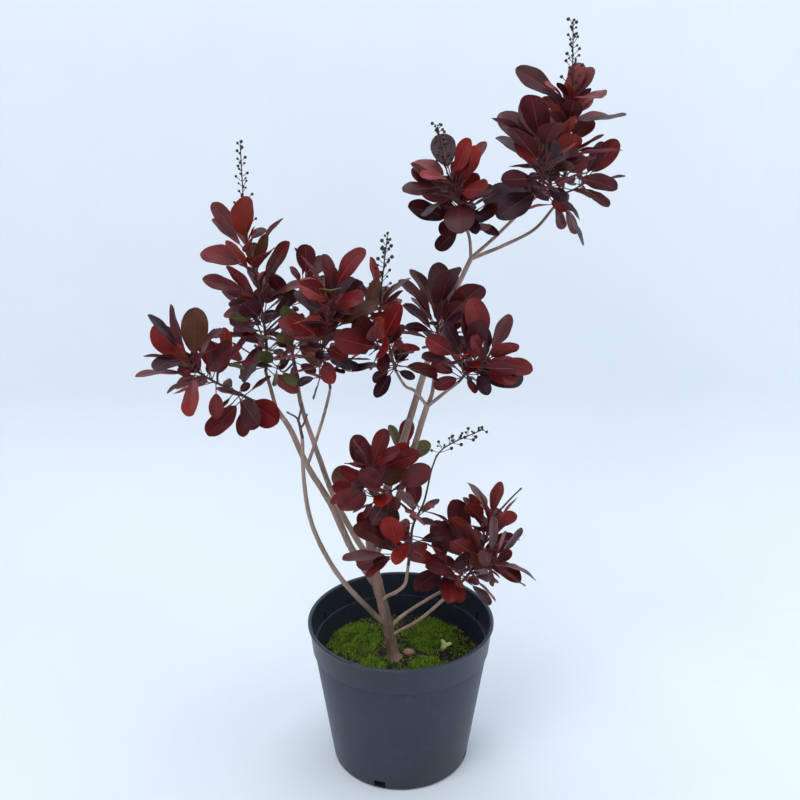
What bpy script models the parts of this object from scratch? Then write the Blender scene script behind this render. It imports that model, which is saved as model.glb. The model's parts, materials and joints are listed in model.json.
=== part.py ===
"""A potted smoke bush about a metre tall, in a round nursery pot.

Metres, +Z up. The origin is the centre of the pot's flat underside. +X is the
right of the plant's front view, and +Y points to its back.
"""

import math
import random
from collections import namedtuple

import bmesh
import bpy
from mathutils import Matrix, Vector
from mathutils.bvhtree import BVHTree

# Pot
POT_HEIGHT = 0.217
RIM_RADIUS = 0.130
RIM_LIP_HEIGHT = 0.0045
COLLAR_TOP_RADIUS = 0.1276
COLLAR_BOTTOM_RADIUS = 0.1240
COLLAR_HEIGHT = 0.041
BASE_RADIUS = 0.0967
WALL = 0.0024
FLOOR = 0.0040
LEDGE_WIDTH = 0.0028
POT_SIDES = 48
DRAIN_SLOTS = 4
DRAIN_SLOT_WIDTH = 0.0165
DRAIN_SLOT_HEIGHT = 0.0105
DRAIN_SLOT_ANGLE = -107.3

# Soil and what lies on it
SOIL_LEVEL = 0.150
SOIL_BUMP = 0.0022
SOIL_FLAT_RADIUS = 0.036
SOIL_EDGE = 0.006
SOIL_RINGS = 6
SOIL_SIDES = 24
SEAT_GAP = 0.0007
MOSS_SIDES = 12
MOSS_RINGS = 3
MOSS_EDGE_HEIGHT = 0.0015
MOSS_WALL_GAP = 0.003
CHIP_CENTRE = Vector((0.0115, 0.0110, 0.0))
CHIP_SIZE = Vector((0.0085, 0.0065, 0.0048))

# Gap between solids that touch on the real plant
CLEARANCE = 0.0003

# Limbs
TRUNK_FLARE = 0.45
FLARE_HEIGHT = 0.016
FLARE_STATION = 0.35
STATION_SPACING = 0.026
TRUNK_SIDES = 12
STEM_SIDES = 8
TWIG_SIDES = 6
THIN_LIMB = 0.0035
SHOOT_SIDES = 4
FRUIT_STALK_SIDES = 4
SHOOT_TIP_RADIUS = 0.0010
SIDE_SHOOT_RADIUS = 0.0015
SHOOT_SPACING = 0.028
SHOOT_COLLAR = 0.003

# Leaves
LEAVES_PER_TIER = 3
SEEDS_PER_MASS = 10
ATTEMPTS = 10
GOLDEN_ANGLE = 137.5
LEAF_THICKNESS = 0.0011
STALK_RADIUS = 0.0008
LEAF_FOLD = 0.12
LEAF_STATIONS = (0.22, 0.60, 0.95)
LEAF_MARGIN = 0.0010
LEAF_REACH = 1.65
OPEN_AT_FOOT = 100.0
OPEN_AT_TIP = 38.0
LIFT = 0.18
FREE_STALK_FROM = 0.35

# Fruit stalks
FRUIT_RADIUS = 0.0021
FRUIT_STALK_RADIUS = 0.0006
FRUIT_STALK_LONG = 0.017
FRUIT_STALK_SHORT = 0.004
PANICLE_STALK_RADIUS = 0.0010
PANICLE_BARE_PART = 0.16

# Colours
POT_COLOUR = (0.018, 0.022, 0.030)
SOIL_COLOUR = (0.030, 0.022, 0.016)
MOSS_COLOUR = (0.090, 0.190, 0.022)
CHIP_COLOUR = (0.300, 0.170, 0.120)
BARK_COLOUR = (0.175, 0.125, 0.105)
TWIG_COLOUR = (0.070, 0.036, 0.036)
LEAF_COLOUR = (0.110, 0.016, 0.022)

Limb = namedtuple("Limb", "parent base tip path")
Shoot = namedtuple("Shoot", "start path leaf tiers")
Panicle = namedtuple("Panicle", "path fruits seed")
Mass = namedtuple("Mass", "bough shoots panicle")
Leaf = namedtuple("Leaf", "root stalk_end forward across normal length half_width bend")
Moss = namedtuple("Moss", "x y across along height")

# Each limb's parent, radius at its base and tip, and the points that its axis runs through
LIMBS = {
    "trunk": Limb(None, 0.0080, 0.0067, (
        (-0.010, 0.000, 0.1503), (-0.019, 0.000, 0.209), (-0.034, 0.003, 0.277),
        (-0.041, 0.005, 0.331), (-0.041, 0.006, 0.361))),
    "leader_stem": Limb("trunk", 0.0058, 0.0031, (
        (-0.040, 0.006, 0.350), (-0.005, 0.020, 0.449), (0.036, 0.045, 0.580),
        (0.064, 0.060, 0.654), (0.093, 0.075, 0.714))),
    "leader_top_twig": Limb("leader_stem", 0.0022, 0.0018, (
        (0.092, 0.075, 0.710), (0.089, 0.068, 0.738), (0.083, 0.058, 0.757))),
    "right_upper_bough": Limb("leader_stem", 0.0024, 0.0018, (
        (0.092, 0.0745, 0.712), (0.129, 0.072, 0.747), (0.166, 0.060, 0.789),
        (0.175, 0.058, 0.795))),
    "right_outer_bough": Limb("leader_stem", 0.0026, 0.0019, (
        (0.092, 0.0745, 0.711), (0.141, 0.098, 0.726), (0.180, 0.120, 0.742),
        (0.207, 0.135, 0.770))),
    "middle_stem": Limb("trunk", 0.0050, 0.0037, (
        (-0.038, 0.004, 0.308), (-0.017, -0.008, 0.360), (0.008, -0.030, 0.456),
        (0.033, -0.050, 0.554))),
    "middle_left_twig": Limb("middle_stem", 0.0022, 0.0016, (
        (0.033, -0.050, 0.551), (0.018, -0.062, 0.575), (0.005, -0.075, 0.587),
        (-0.006, -0.085, 0.609))),
    "middle_top_twig": Limb("middle_stem", 0.0027, 0.0021, (
        (0.033, -0.050, 0.551), (0.039, -0.048, 0.568), (0.042, -0.040, 0.591),
        (0.044, -0.035, 0.604))),
    "middle_right_twig": Limb("middle_stem", 0.0024, 0.0018, (
        (0.033, -0.050, 0.551), (0.053, -0.065, 0.574), (0.070, -0.080, 0.594))),
    "left_stem": Limb("trunk", 0.0052, 0.0033, (
        (-0.037, 0.003, 0.270), (-0.067, -0.010, 0.331), (-0.093, -0.018, 0.401),
        (-0.122, -0.020, 0.457), (-0.144, -0.010, 0.505), (-0.163, 0.000, 0.530))),
    "left_upper_bough": Limb("left_stem", 0.0027, 0.0022, (
        (-0.162, -0.001, 0.528), (-0.171, 0.018, 0.553), (-0.178, 0.032, 0.569))),
    "far_left_bough": Limb("left_stem", 0.0024, 0.0020, (
        (-0.162, -0.001, 0.528), (-0.176, -0.006, 0.538), (-0.190, -0.017, 0.547))),
    "left_middle_stem": Limb("trunk", 0.0045, 0.0028, (
        (-0.038, 0.006, 0.302), (-0.049, 0.012, 0.312), (-0.089, 0.030, 0.381),
        (-0.120, 0.052, 0.463), (-0.136, 0.062, 0.513), (-0.142, 0.070, 0.556))),
    "left_low_stem": Limb("trunk", 0.0040, 0.0022, (
        (-0.021, 0.000, 0.209), (-0.033, -0.004, 0.220), (-0.077, -0.030, 0.290),
        (-0.104, -0.045, 0.350), (-0.118, -0.060, 0.406), (-0.122, -0.075, 0.466),
        (-0.121, -0.085, 0.523))),
    "centre_bough": Limb("left_stem", 0.0023, 0.0018, (
        (-0.122, -0.020, 0.458), (-0.110, -0.035, 0.495), (-0.099, -0.050, 0.531),
        (-0.090, -0.065, 0.565), (-0.086, -0.075, 0.584))),
    "low_right_stem": Limb("trunk", 0.0028, 0.0021, (
        (-0.016, 0.000, 0.196), (-0.005, 0.010, 0.206), (0.020, 0.020, 0.221),
        (0.071, 0.030, 0.250))),
    "low_right_front_stem": Limb("trunk", 0.0027, 0.0020, (
        (-0.015, 0.000, 0.184), (-0.004, -0.006, 0.197), (0.029, -0.020, 0.228),
        (0.074, -0.040, 0.287))),
    "low_curved_twig": Limb("trunk", 0.0028, 0.0021, (
        (-0.027, 0.000, 0.243), (-0.018, -0.010, 0.257), (-0.005, -0.020, 0.270),
        (0.006, -0.028, 0.287), (0.010, -0.032, 0.317))),
    "low_left_twig": Limb("trunk", 0.0024, 0.0019, (
        (-0.041, 0.005, 0.354), (-0.037, -0.006, 0.379), (-0.032, -0.020, 0.402))),
}

# Each mass's bough, its shoots and its stalk of old fruit. The first shoot grows on from
# the bough's tip, and each other one leaves the first at a fraction of its length. A tier
# is three leaves at a fraction of the shoot's length, and has a seed of its own.
MASSES = {
    "far_left_foliage": Mass("far_left_bough", (
        Shoot(0, ((-0.211, -0.035, 0.567), (-0.233, -0.048, 0.584),
                  (-0.251, -0.062, 0.603), (-0.259, -0.075, 0.624)), 0.055,
              (0.22, 0.62, 0.80, 0.98)),
        Shoot(0.48, ((-0.228, -0.040, 0.593), (-0.220, -0.035, 0.604)), 0.034,
              (0.95,))), None),
    "left_top_foliage": Mass("left_upper_bough", (
        Shoot(0, ((-0.177, 0.045, 0.595), (-0.181, 0.055, 0.636), (-0.188, 0.062, 0.679),
                  (-0.196, 0.065, 0.718), (-0.200, 0.065, 0.738)), 0.056,
              (0.16, 0.30, 0.42, 0.56, 0.74, 0.95)),
        Shoot(0.30, ((-0.157, 0.075, 0.635), (-0.141, 0.090, 0.656),
                     (-0.126, 0.100, 0.674)), 0.040,
              (0.60, 0.98)),
        Shoot(0.22, ((-0.189, 0.090, 0.602), (-0.201, 0.120, 0.618)), 0.046,
              (0.95,))),
        Panicle(((-0.201, 0.066, 0.790), (-0.202, 0.070, 0.857)), 17, 1)),
    "left_inner_foliage": Mass("left_middle_stem", (
        Shoot(0, ((-0.144, 0.060, 0.579), (-0.143, 0.040, 0.604), (-0.134, 0.020, 0.625)),
              0.036, (0.35, 0.65, 0.98)),
        Shoot(0.20, ((-0.154, 0.030, 0.570), (-0.160, 0.010, 0.584)), 0.034,
              (0.95,))), None),
    "centre_foliage": Mass("centre_bough", (
        Shoot(0, ((-0.088, -0.082, 0.606), (-0.094, -0.092, 0.635), (-0.085, -0.100, 0.663),
                  (-0.081, -0.105, 0.685), (-0.079, -0.110, 0.706)), 0.048,
              (0.42, 0.60, 0.74, 0.88, 1.00)),
        Shoot(0.05, ((-0.077, -0.080, 0.613), (-0.065, -0.085, 0.639),
                     (-0.054, -0.090, 0.668), (-0.043, -0.092, 0.682)), 0.038,
              (0.35, 0.62, 0.98)),
        Shoot(0.06, ((-0.091, -0.085, 0.597), (-0.098, -0.095, 0.606)), 0.026,
              (0.90,))), None),
    "upper_centre_foliage": Mass("middle_left_twig", (
        Shoot(0, ((-0.012, -0.092, 0.635), (-0.017, -0.085, 0.653), (-0.024, -0.070, 0.671),
                  (-0.025, -0.062, 0.687)), 0.042,
              (0.12, 0.40, 0.85, 1.00)),
        Shoot(0.30, ((-0.017, -0.110, 0.637), (-0.024, -0.120, 0.650)), 0.052,
              (0.95,))),
        Panicle(((-0.021, -0.061, 0.725), (-0.016, -0.060, 0.765)), 17, 2)),
    "right_front_foliage": Mass("middle_top_twig", (
        Shoot(0, ((0.045, -0.030, 0.621), (0.046, -0.025, 0.636), (0.046, -0.020, 0.654)),
              0.055, (0.55, 0.80, 1.00)),), None),
    "right_foliage": Mass("middle_right_twig", (
        Shoot(0, ((0.080, -0.090, 0.610), (0.091, -0.100, 0.622), (0.101, -0.108, 0.632)),
              0.047, (0.30, 0.65, 0.98)),
        Shoot(0.25, ((0.072, -0.100, 0.620), (0.073, -0.110, 0.634)), 0.040,
              (0.95,))), None),
    "top_middle_foliage": Mass("leader_top_twig", (
        Shoot(0, ((0.078, 0.045, 0.777), (0.072, 0.030, 0.797), (0.064, 0.020, 0.816),
                  (0.057, 0.012, 0.829)), 0.053,
              (0.12, 0.36, 0.52, 0.68, 0.84)),
        Shoot(0.80, ((0.033, 0.000, 0.824), (0.018, -0.005, 0.836)), 0, ())),
        Panicle(((0.049, 0.010, 0.858), (0.044, 0.010, 0.887)), 15, 3)),
    "upper_right_foliage": Mass("right_upper_bough", (
        Shoot(0, ((0.178, 0.048, 0.809), (0.178, 0.035, 0.828), (0.171, 0.025, 0.854)),
              0.054, (0.20, 0.45, 0.72, 0.98)),), None),
    "top_right_foliage": Mass("right_outer_bough", (
        Shoot(0, ((0.215, 0.138, 0.783), (0.219, 0.138, 0.814), (0.216, 0.132, 0.849),
                  (0.217, 0.122, 0.886), (0.219, 0.115, 0.913)), 0.055,
              (0.10, 0.28, 0.46, 0.62, 0.78, 0.92)),
        Shoot(0.12, ((0.233, 0.150, 0.789), (0.248, 0.165, 0.795)), 0.050,
              (0.95,))),
        Panicle(((0.216, 0.106, 0.960), (0.213, 0.100, 1.003)), 20, 4)),
    "low_left_foliage": Mass("low_left_twig", (
        Shoot(0, ((-0.032, -0.035, 0.426), (-0.036, -0.050, 0.450), (-0.038, -0.060, 0.471)),
              0.052, (0.20, 0.60, 0.98)),
        Shoot(0.30, ((-0.020, -0.050, 0.429), (-0.009, -0.065, 0.444)), 0.055,
              (0.85,))), None),
    "low_middle_foliage": Mass("low_curved_twig", (
        Shoot(0, ((0.013, -0.040, 0.351), (0.016, -0.045, 0.383), (0.030, -0.045, 0.417),
                  (0.039, -0.045, 0.461), (0.045, -0.045, 0.480)), 0.036,
              (0.30, 0.55)),
        Shoot(0.10, ((0.002, -0.050, 0.340), (-0.006, -0.065, 0.354)), 0.058,
              (0.90,))),
        Panicle(((0.054, -0.045, 0.492), (0.070, -0.045, 0.502), (0.104, -0.045, 0.518)),
                13, 5)),
    "low_back_foliage": Mass("low_right_stem", (
        Shoot(0, ((0.082, 0.020, 0.268), (0.089, 0.005, 0.294), (0.094, -0.010, 0.319)),
              0.055, (0.50, 0.95)),
        Shoot(0.25, ((0.071, 0.000, 0.285), (0.063, -0.020, 0.309)), 0.058,
              (0.95,))), None),
    "low_right_foliage": Mass("low_right_front_stem", (
        Shoot(0, ((0.087, -0.045, 0.306), (0.103, -0.040, 0.329), (0.112, -0.030, 0.352),
                  (0.118, -0.020, 0.378)), 0.050,
              (0.25, 0.55, 0.78, 1.00)),
        Shoot(0.35, ((0.111, -0.055, 0.327), (0.122, -0.065, 0.338)), 0.052,
              (0.95,)),
        Shoot(0.97, ((0.143, -0.015, 0.404), (0.158, -0.010, 0.418)), 0, ())), None),
    "low_behind_foliage": Mass("leader_stem", (
        Shoot(0.27, ((-0.004, 0.045, 0.433), (0.002, 0.055, 0.439)), 0.045,
              (0.90,)),), None),
    "dead_spray": Mass("left_low_stem", (
        Shoot(0, ((-0.123, -0.090, 0.540), (-0.126, -0.093, 0.552), (-0.135, -0.095, 0.559)),
              0, ()),
        Shoot(0.35, ((-0.118, -0.096, 0.545), (-0.114, -0.098, 0.556)), 0, ()),
        Shoot(0.60, ((-0.121, -0.098, 0.562), (-0.119, -0.100, 0.571)), 0, ())), None),
}

MOSS_CUSHIONS = {
    "moss_left": Moss(-0.068, 0.048, 0.034, 0.038, 0.0105),
    "moss_front_left": Moss(-0.045, -0.031, 0.020, 0.028, 0.0110),
    "moss_right": Moss(0.044, 0.059, 0.034, 0.042, 0.0110),
    "moss_front_right": Moss(0.042, -0.029, 0.028, 0.026, 0.0100),
}


def clear_scene():
    for obj in list(bpy.data.objects):
        bpy.data.objects.remove(obj)


def make_object(name, verts, faces):
    mesh = bpy.data.meshes.new(name)
    mesh.from_pydata([tuple(v) for v in verts], [], faces)
    shape = bmesh.new()
    shape.from_mesh(mesh)
    bmesh.ops.recalc_face_normals(shape, faces=shape.faces)
    shape.to_mesh(mesh)
    shape.free()
    obj = bpy.data.objects.new(name, mesh)
    bpy.context.scene.collection.objects.link(obj)
    return obj


def finish(obj, colour, roughness, smooth_angle=40.0):
    material = bpy.data.materials.new(obj.name)
    material.use_nodes = True
    shader = material.node_tree.nodes["Principled BSDF"]
    shader.inputs["Base Color"].default_value = (*colour, 1.0)
    shader.inputs["Roughness"].default_value = roughness
    shader.inputs["Metallic"].default_value = 0.0
    obj.data.materials.clear()
    obj.data.materials.append(material)
    obj.data.shade_smooth()
    obj.data.set_sharp_from_angle(angle=math.radians(smooth_angle))


def apply_modifiers(obj):
    graph = bpy.context.evaluated_depsgraph_get()
    mesh = bpy.data.meshes.new_from_object(obj.evaluated_get(graph))
    obj.modifiers.clear()
    obj.data = mesh


def signed_volume(faces):
    total = 0.0
    for face in faces:
        first = face.verts[0].co
        for a, b in zip(face.verts[1:], face.verts[2:]):
            total += first.dot(a.co.cross(b.co)) / 6
    return total


def keep_largest_body(obj):
    """Leaves one closed body: loose scraps and the shells of sealed hollows go."""
    shape = bmesh.new()
    shape.from_mesh(obj.data)
    left = set(shape.faces)
    bodies = []
    while left:
        body = {left.pop()}
        edge_of_body = list(body)
        while edge_of_body:
            face = edge_of_body.pop()
            for edge in face.edges:
                for other in edge.link_faces:
                    if other in left:
                        left.remove(other)
                        body.add(other)
                        edge_of_body.append(other)
        bodies.append(body)
    bodies.sort(key=signed_volume)
    for body in bodies[:-1]:
        bmesh.ops.delete(shape, geom=list(body), context="FACES")
    shape.to_mesh(obj.data)
    shape.free()


def join(obj, others, solver="EXACT"):
    """Fuses closed objects into one body with one Boolean union on a collection."""
    if not others:
        return
    group = bpy.data.collections.new("fused pieces")
    bpy.context.scene.collection.children.link(group)
    for other in others:
        bpy.context.scene.collection.objects.unlink(other)
        group.objects.link(other)
    union = obj.modifiers.new("fuse", "BOOLEAN")
    union.operation = "UNION"
    union.solver = solver
    union.operand_type = "COLLECTION"
    union.collection = group
    apply_modifiers(obj)
    for other in others:
        bpy.data.objects.remove(other)
    bpy.data.collections.remove(group)
    keep_largest_body(obj)


def cut(obj, cutter):
    difference = obj.modifiers.new("cut", "BOOLEAN")
    difference.operation = "DIFFERENCE"
    difference.solver = "EXACT"
    difference.object = cutter
    apply_modifiers(obj)
    bpy.data.objects.remove(cutter)


def smooth_line(points, spacing):
    """Points about this far apart on a smooth curve through the given ones."""
    points = [Vector(point) for point in points]
    ends = [points[0] * 2 - points[1], *points, points[-1] * 2 - points[-2]]
    line = [points[0].copy()]
    for before, a, b, after in zip(ends, ends[1:], ends[2:], ends[3:]):
        steps = max(1, math.ceil((b - a).length / spacing))
        for step in range(1, steps + 1):
            t = step / steps
            line.append(0.5 * (2 * a + (b - before) * t
                               + (2 * before - 5 * a + 4 * b - after) * t ** 2
                               + (3 * a - before - 3 * b + after) * t ** 3))
    return line


def along(line, fraction):
    """The point and the direction at a fraction of a line's length."""
    lengths = [(b - a).length for a, b in zip(line, line[1:])]
    left = sum(lengths) * min(max(fraction, 0.0), 1.0)
    for a, b, length in zip(line, line[1:], lengths):
        if left <= length or b is line[-1]:
            return a.lerp(b, min(left / length, 1.0)), (b - a).normalized()
        left -= length


def tube(line, radii, sides):
    """Vertices and faces of a closed round limb along a line."""
    verts = []
    faces = []
    tangents = []
    for i, point in enumerate(line):
        before = line[max(i - 1, 0)]
        after = line[min(i + 1, len(line) - 1)]
        tangents.append((after - before).normalized())
    side = tangents[0].orthogonal().normalized()
    for point, radius, tangent in zip(line, radii, tangents):
        side = (side - tangent * side.dot(tangent)).normalized()
        other = tangent.cross(side)
        for k in range(sides):
            turn = 2 * math.pi * k / sides
            verts.append(point + (side * math.cos(turn) + other * math.sin(turn)) * radius)
    for ring in range(len(line) - 1):
        for k in range(sides):
            a = ring * sides + k
            b = ring * sides + (k + 1) % sides
            faces.append((a, b, b + sides, a + sides))
    faces.append(tuple(reversed(range(sides))))
    faces.append(tuple(range(len(verts) - sides, len(verts))))
    return verts, faces


def limb_radius(limb, fraction, height):
    radius = limb.base + (limb.tip - limb.base) * fraction
    if limb.parent is None:
        above = height - limb.path[0][2]
        radius *= 1 + TRUNK_FLARE * max(0.0, 1 - above / FLARE_HEIGHT) ** 2
    return radius


def limb_sides(limb):
    if limb.parent is None:
        return TRUNK_SIDES
    return STEM_SIDES if limb.base > THIN_LIMB else TWIG_SIDES


def limb_tube(limb, grow=0.0):
    line = smooth_line(limb.path, STATION_SPACING)
    if limb.parent is None:
        foot = line[0].lerp(line[1], FLARE_STATION)
        line.insert(1, foot)
    total = len(line) - 1
    radii = [limb_radius(limb, i / total, point.z) + grow for i, point in enumerate(line)]
    if grow:
        line[-1] = line[-1] + (line[-1] - line[-2]).normalized() * grow
    verts, faces = tube(line, radii, limb_sides(limb))
    if limb.parent is None:
        for vert in verts[:limb_sides(limb)]:
            vert.z = limb.path[0][2]
    return verts, faces


def shoot_root(mass):
    """Where a mass's first shoot starts on its bough, which way it sets off, and how thick."""
    bough = LIMBS[mass.bough]
    line = smooth_line(bough.path, STATION_SPACING)
    start = mass.shoots[0].start
    if not start:
        heading = (line[-1] - line[-2]).normalized()
        return line[-1] + heading * CLEARANCE, heading, bough.tip
    point, heading = along(line, start)
    outward = Vector(mass.shoots[0].path[0]) - point
    outward = (outward - heading * outward.dot(heading)).normalized()
    radius = limb_radius(bough, start, point.z)
    return point + outward * (radius + CLEARANCE), outward, SIDE_SHOOT_RADIUS


def shoot_lines(mass):
    """The axis of each of a mass's shoots, from its root, and its radius there."""
    lines = []
    for shoot in mass.shoots:
        if lines:
            first, _ = along(lines[0][0], shoot.start)
            line = smooth_line((first, *shoot.path), SHOOT_SPACING)
            lines.append((line, SIDE_SHOOT_RADIUS))
            continue
        first, heading, radius = shoot_root(mass)
        line = smooth_line((first, *shoot.path), SHOOT_SPACING)
        line.insert(1, first + heading * SHOOT_COLLAR)
        lines.append((line, radius))
    return lines


def shoot_tube(line, first_radius):
    total = len(line) - 1
    radii = [first_radius + (SHOOT_TIP_RADIUS - first_radius) * i / total
             for i in range(total + 1)]
    return tube(line, radii, SHOOT_SIDES)


def fruit_shapes(mass, main_line):
    """Vertices and faces of a mass's fruit stalk, and of each fruit on its own stalk."""
    rng = random.Random(mass.panicle.seed)
    line = smooth_line((main_line[-2].lerp(main_line[-1], 0.5), main_line[-1],
                        *mass.panicle.path), SHOOT_SPACING)
    total = len(line) - 1
    radii = [PANICLE_STALK_RADIUS * (1 - 0.35 * i / total) for i in range(total + 1)]
    shapes = [tube(line, radii, FRUIT_STALK_SIDES)]
    for i in range(mass.panicle.fruits):
        place = PANICLE_BARE_PART + (1 - PANICLE_BARE_PART) * (i + 1) / mass.panicle.fruits
        root, heading = along(line, place)
        side = heading.orthogonal().normalized()
        turn = math.radians(i * GOLDEN_ANGLE + rng.uniform(-20, 20))
        side = Matrix.Rotation(turn, 3, heading) @ side
        lean = math.radians(rng.uniform(35, 65))
        forward = heading * math.cos(lean) + side * math.sin(lean)
        reach = FRUIT_STALK_LONG + (FRUIT_STALK_SHORT - FRUIT_STALK_LONG) * place
        reach *= rng.uniform(0.75, 1.25)
        radius = FRUIT_RADIUS * rng.uniform(0.8, 1.15)
        shapes.append(fruit_shape(root, forward, reach, radius))
    return shapes


def fruit_shape(root, forward, reach, radius):
    across = forward.orthogonal().normalized()
    other = forward.cross(across)
    rings = ((0.0, FRUIT_STALK_RADIUS), (reach, FRUIT_STALK_RADIUS),
             (reach + radius * 1.1, radius))
    verts = []
    for distance, ring_radius in rings:
        for k in range(3):
            turn = 2 * math.pi * k / 3
            spoke = across * math.cos(turn) + other * math.sin(turn)
            verts.append(root + forward * distance + spoke * ring_radius)
    verts.append(root + forward * (reach + radius * 2.1))
    faces = [(2, 1, 0)]
    for ring in (0, 3):
        for k in range(3):
            after = (k + 1) % 3
            faces.append((ring + k, ring + after, ring + after + 3, ring + k + 3))
    faces += [(6, 7, 9), (7, 8, 9), (8, 6, 9)]
    return verts, faces


def leaf_width(t):
    """The blade's half width at t of its length, as a share of the widest."""
    return 2.423 * t ** 0.75 * (1 - t) ** 0.55


def leaf_point(leaf, t):
    """A point on the midrib, and the blade's direction and upper normal there."""
    bend = leaf.bend if abs(leaf.bend) > 0.01 else 0.01
    turn = bend * t
    point = (leaf.stalk_end
             + leaf.forward * (leaf.length * math.sin(turn) / bend)
             - leaf.normal * (leaf.length * (1 - math.cos(turn)) / bend))
    normal = leaf.normal * math.cos(turn) + leaf.forward * math.sin(turn)
    return point, normal


def leaf_shape(leaf, grow=0.0, stalk_from=0.0):
    """Vertices and faces of a leaf: a three-sided stalk that opens into a keeled blade."""
    rings = []
    for point in (leaf.root.lerp(leaf.stalk_end, stalk_from), leaf.stalk_end):
        rings.append((point, leaf.normal, STALK_RADIUS + grow, STALK_RADIUS + grow, grow))
    for t in LEAF_STATIONS:
        point, normal = leaf_point(leaf, t)
        half = leaf.half_width * leaf_width(t)
        rings.append((point, normal, half + grow, LEAF_THICKNESS + grow,
                      LEAF_FOLD * half + grow))
    verts = []
    for point, normal, half, keel, rise in rings:
        verts += [point + leaf.across * half + normal * rise,
                  point - leaf.across * half + normal * rise,
                  point - normal * keel]
    faces = [(2, 1, 0)]
    for ring in range(0, len(verts) - 3, 3):
        for k in range(3):
            after = (k + 1) % 3
            faces.append((ring + k, ring + after, ring + after + 3, ring + k + 3))
    last = len(verts) - 3
    faces.append((last, last + 1, last + 2))
    return verts, faces


def draw_leaf(rng, line, place, size, azimuth):
    """One draw of a leaf on a shoot: low leaves spread wide, and high ones stand up."""
    root, axis = along(line, place + rng.uniform(-0.04, 0.04))
    opening = OPEN_AT_FOOT + (OPEN_AT_TIP - OPEN_AT_FOOT) * place + rng.uniform(-32, 32)
    side = Matrix.Rotation(math.radians(azimuth + rng.uniform(-35, 35)), 3, axis)
    radial = side @ axis.orthogonal().normalized()
    opening = math.radians(opening)
    forward = axis * math.cos(opening) + radial * math.sin(opening)
    forward = (forward + Vector((0, 0, LIFT))).normalized()
    length = size * rng.uniform(0.72, 1.18)
    stalk = length * rng.uniform(0.28, 0.46)
    normal = axis * math.sin(opening) - radial * math.cos(opening) + Vector((0, 0, LIFT))
    normal = (normal - forward * normal.dot(forward)).normalized()
    roll = Matrix.Rotation(math.radians(rng.uniform(-50, 50)), 3, forward)
    normal = roll @ normal
    half_width = length * rng.uniform(0.25, 0.33)
    bend = math.radians(rng.uniform(-8, 38))
    return Leaf(root, root + forward * stalk, forward, normal.cross(forward), normal,
                length, half_width, bend)


class Space:
    """The shapes that a new leaf has to stay clear of."""

    def __init__(self):
        self.taken = []

    def add(self, shape):
        verts, faces = shape
        middle = sum(verts, Vector()) / len(verts)
        reach = max((vert - middle).length for vert in verts)
        self.taken.append((BVHTree.FromPolygons(verts, faces), middle, reach))

    def is_clear(self, shape):
        verts, faces = shape
        middle = sum(verts, Vector()) / len(verts)
        reach = max((vert - middle).length for vert in verts)
        tree = BVHTree.FromPolygons(verts, faces)
        for other, centre, radius in self.taken:
            if (centre - middle).length < reach + radius and tree.overlap(other):
                return False
        return True


def grow_tier(line, place, size, seed, space):
    """Three leaves of one tier. A leaf that finds no clear place is left out."""
    rng = random.Random(seed)
    phase = rng.uniform(0, 360)
    leaves = []
    for turn in range(LEAVES_PER_TIER):
        for _ in range(ATTEMPTS):
            leaf = draw_leaf(rng, line, place, size, phase + turn * GOLDEN_ANGLE)
            tip, _ = leaf_point(leaf, 1.0)
            if (tip - leaf.root).length > LEAF_REACH * size:
                continue
            if space.is_clear(leaf_shape(leaf, LEAF_MARGIN, FREE_STALK_FROM)):
                space.add(leaf_shape(leaf))
                leaves.append(leaf)
                break
    return leaves


def plan_plant():
    """Each mass's shoots, fruit and leaves, laid out so that no leaf meets another."""
    space = Space()
    space.add(lathe(pot_profile(), POT_SIDES))
    for limb in LIMBS.values():
        space.add(limb_tube(limb))
    plans = {}
    for name, mass in MASSES.items():
        lines = shoot_lines(mass)
        shoots = [shoot_tube(*line) for line in lines]
        fruits = fruit_shapes(mass, lines[0][0]) if mass.panicle else []
        for shape in shoots + fruits:
            space.add(shape)
        plans[name] = {"lines": lines, "shoots": shoots, "fruits": fruits, "leaves": []}
    for number, (name, mass) in enumerate(MASSES.items()):
        plan = plans[name]
        seed = number * SEEDS_PER_MASS
        for shoot, (line, _) in zip(mass.shoots, plan["lines"]):
            for place in shoot.tiers:
                seed += 1
                plan["leaves"] += grow_tier(line, place, shoot.leaf, seed, space)
    return plans


def lathe(profile, sides):
    """Vertices and faces of a profile of (radius, height) turned about the Z axis."""
    verts = []
    rings = []
    for radius, height in profile:
        if radius == 0:
            rings.append([len(verts)] * sides)
            verts.append(Vector((0, 0, height)))
            continue
        rings.append(list(range(len(verts), len(verts) + sides)))
        for k in range(sides):
            turn = 2 * math.pi * k / sides
            verts.append(Vector((radius * math.cos(turn), radius * math.sin(turn), height)))
    faces = []
    for low, high in zip(rings, rings[1:]):
        for k in range(sides):
            after = (k + 1) % sides
            corners = (low[k], low[after], high[after], high[k])
            faces.append(tuple(dict.fromkeys(corners)))
    return verts, faces


def wall_radius(height):
    """The outer radius of the pot's plain cone, below the collar."""
    top = POT_HEIGHT - COLLAR_HEIGHT
    return BASE_RADIUS + (COLLAR_BOTTOM_RADIUS - 0.0020 - BASE_RADIUS) * height / top


def ledge_height():
    return POT_HEIGHT - COLLAR_HEIGHT + 0.006


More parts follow.
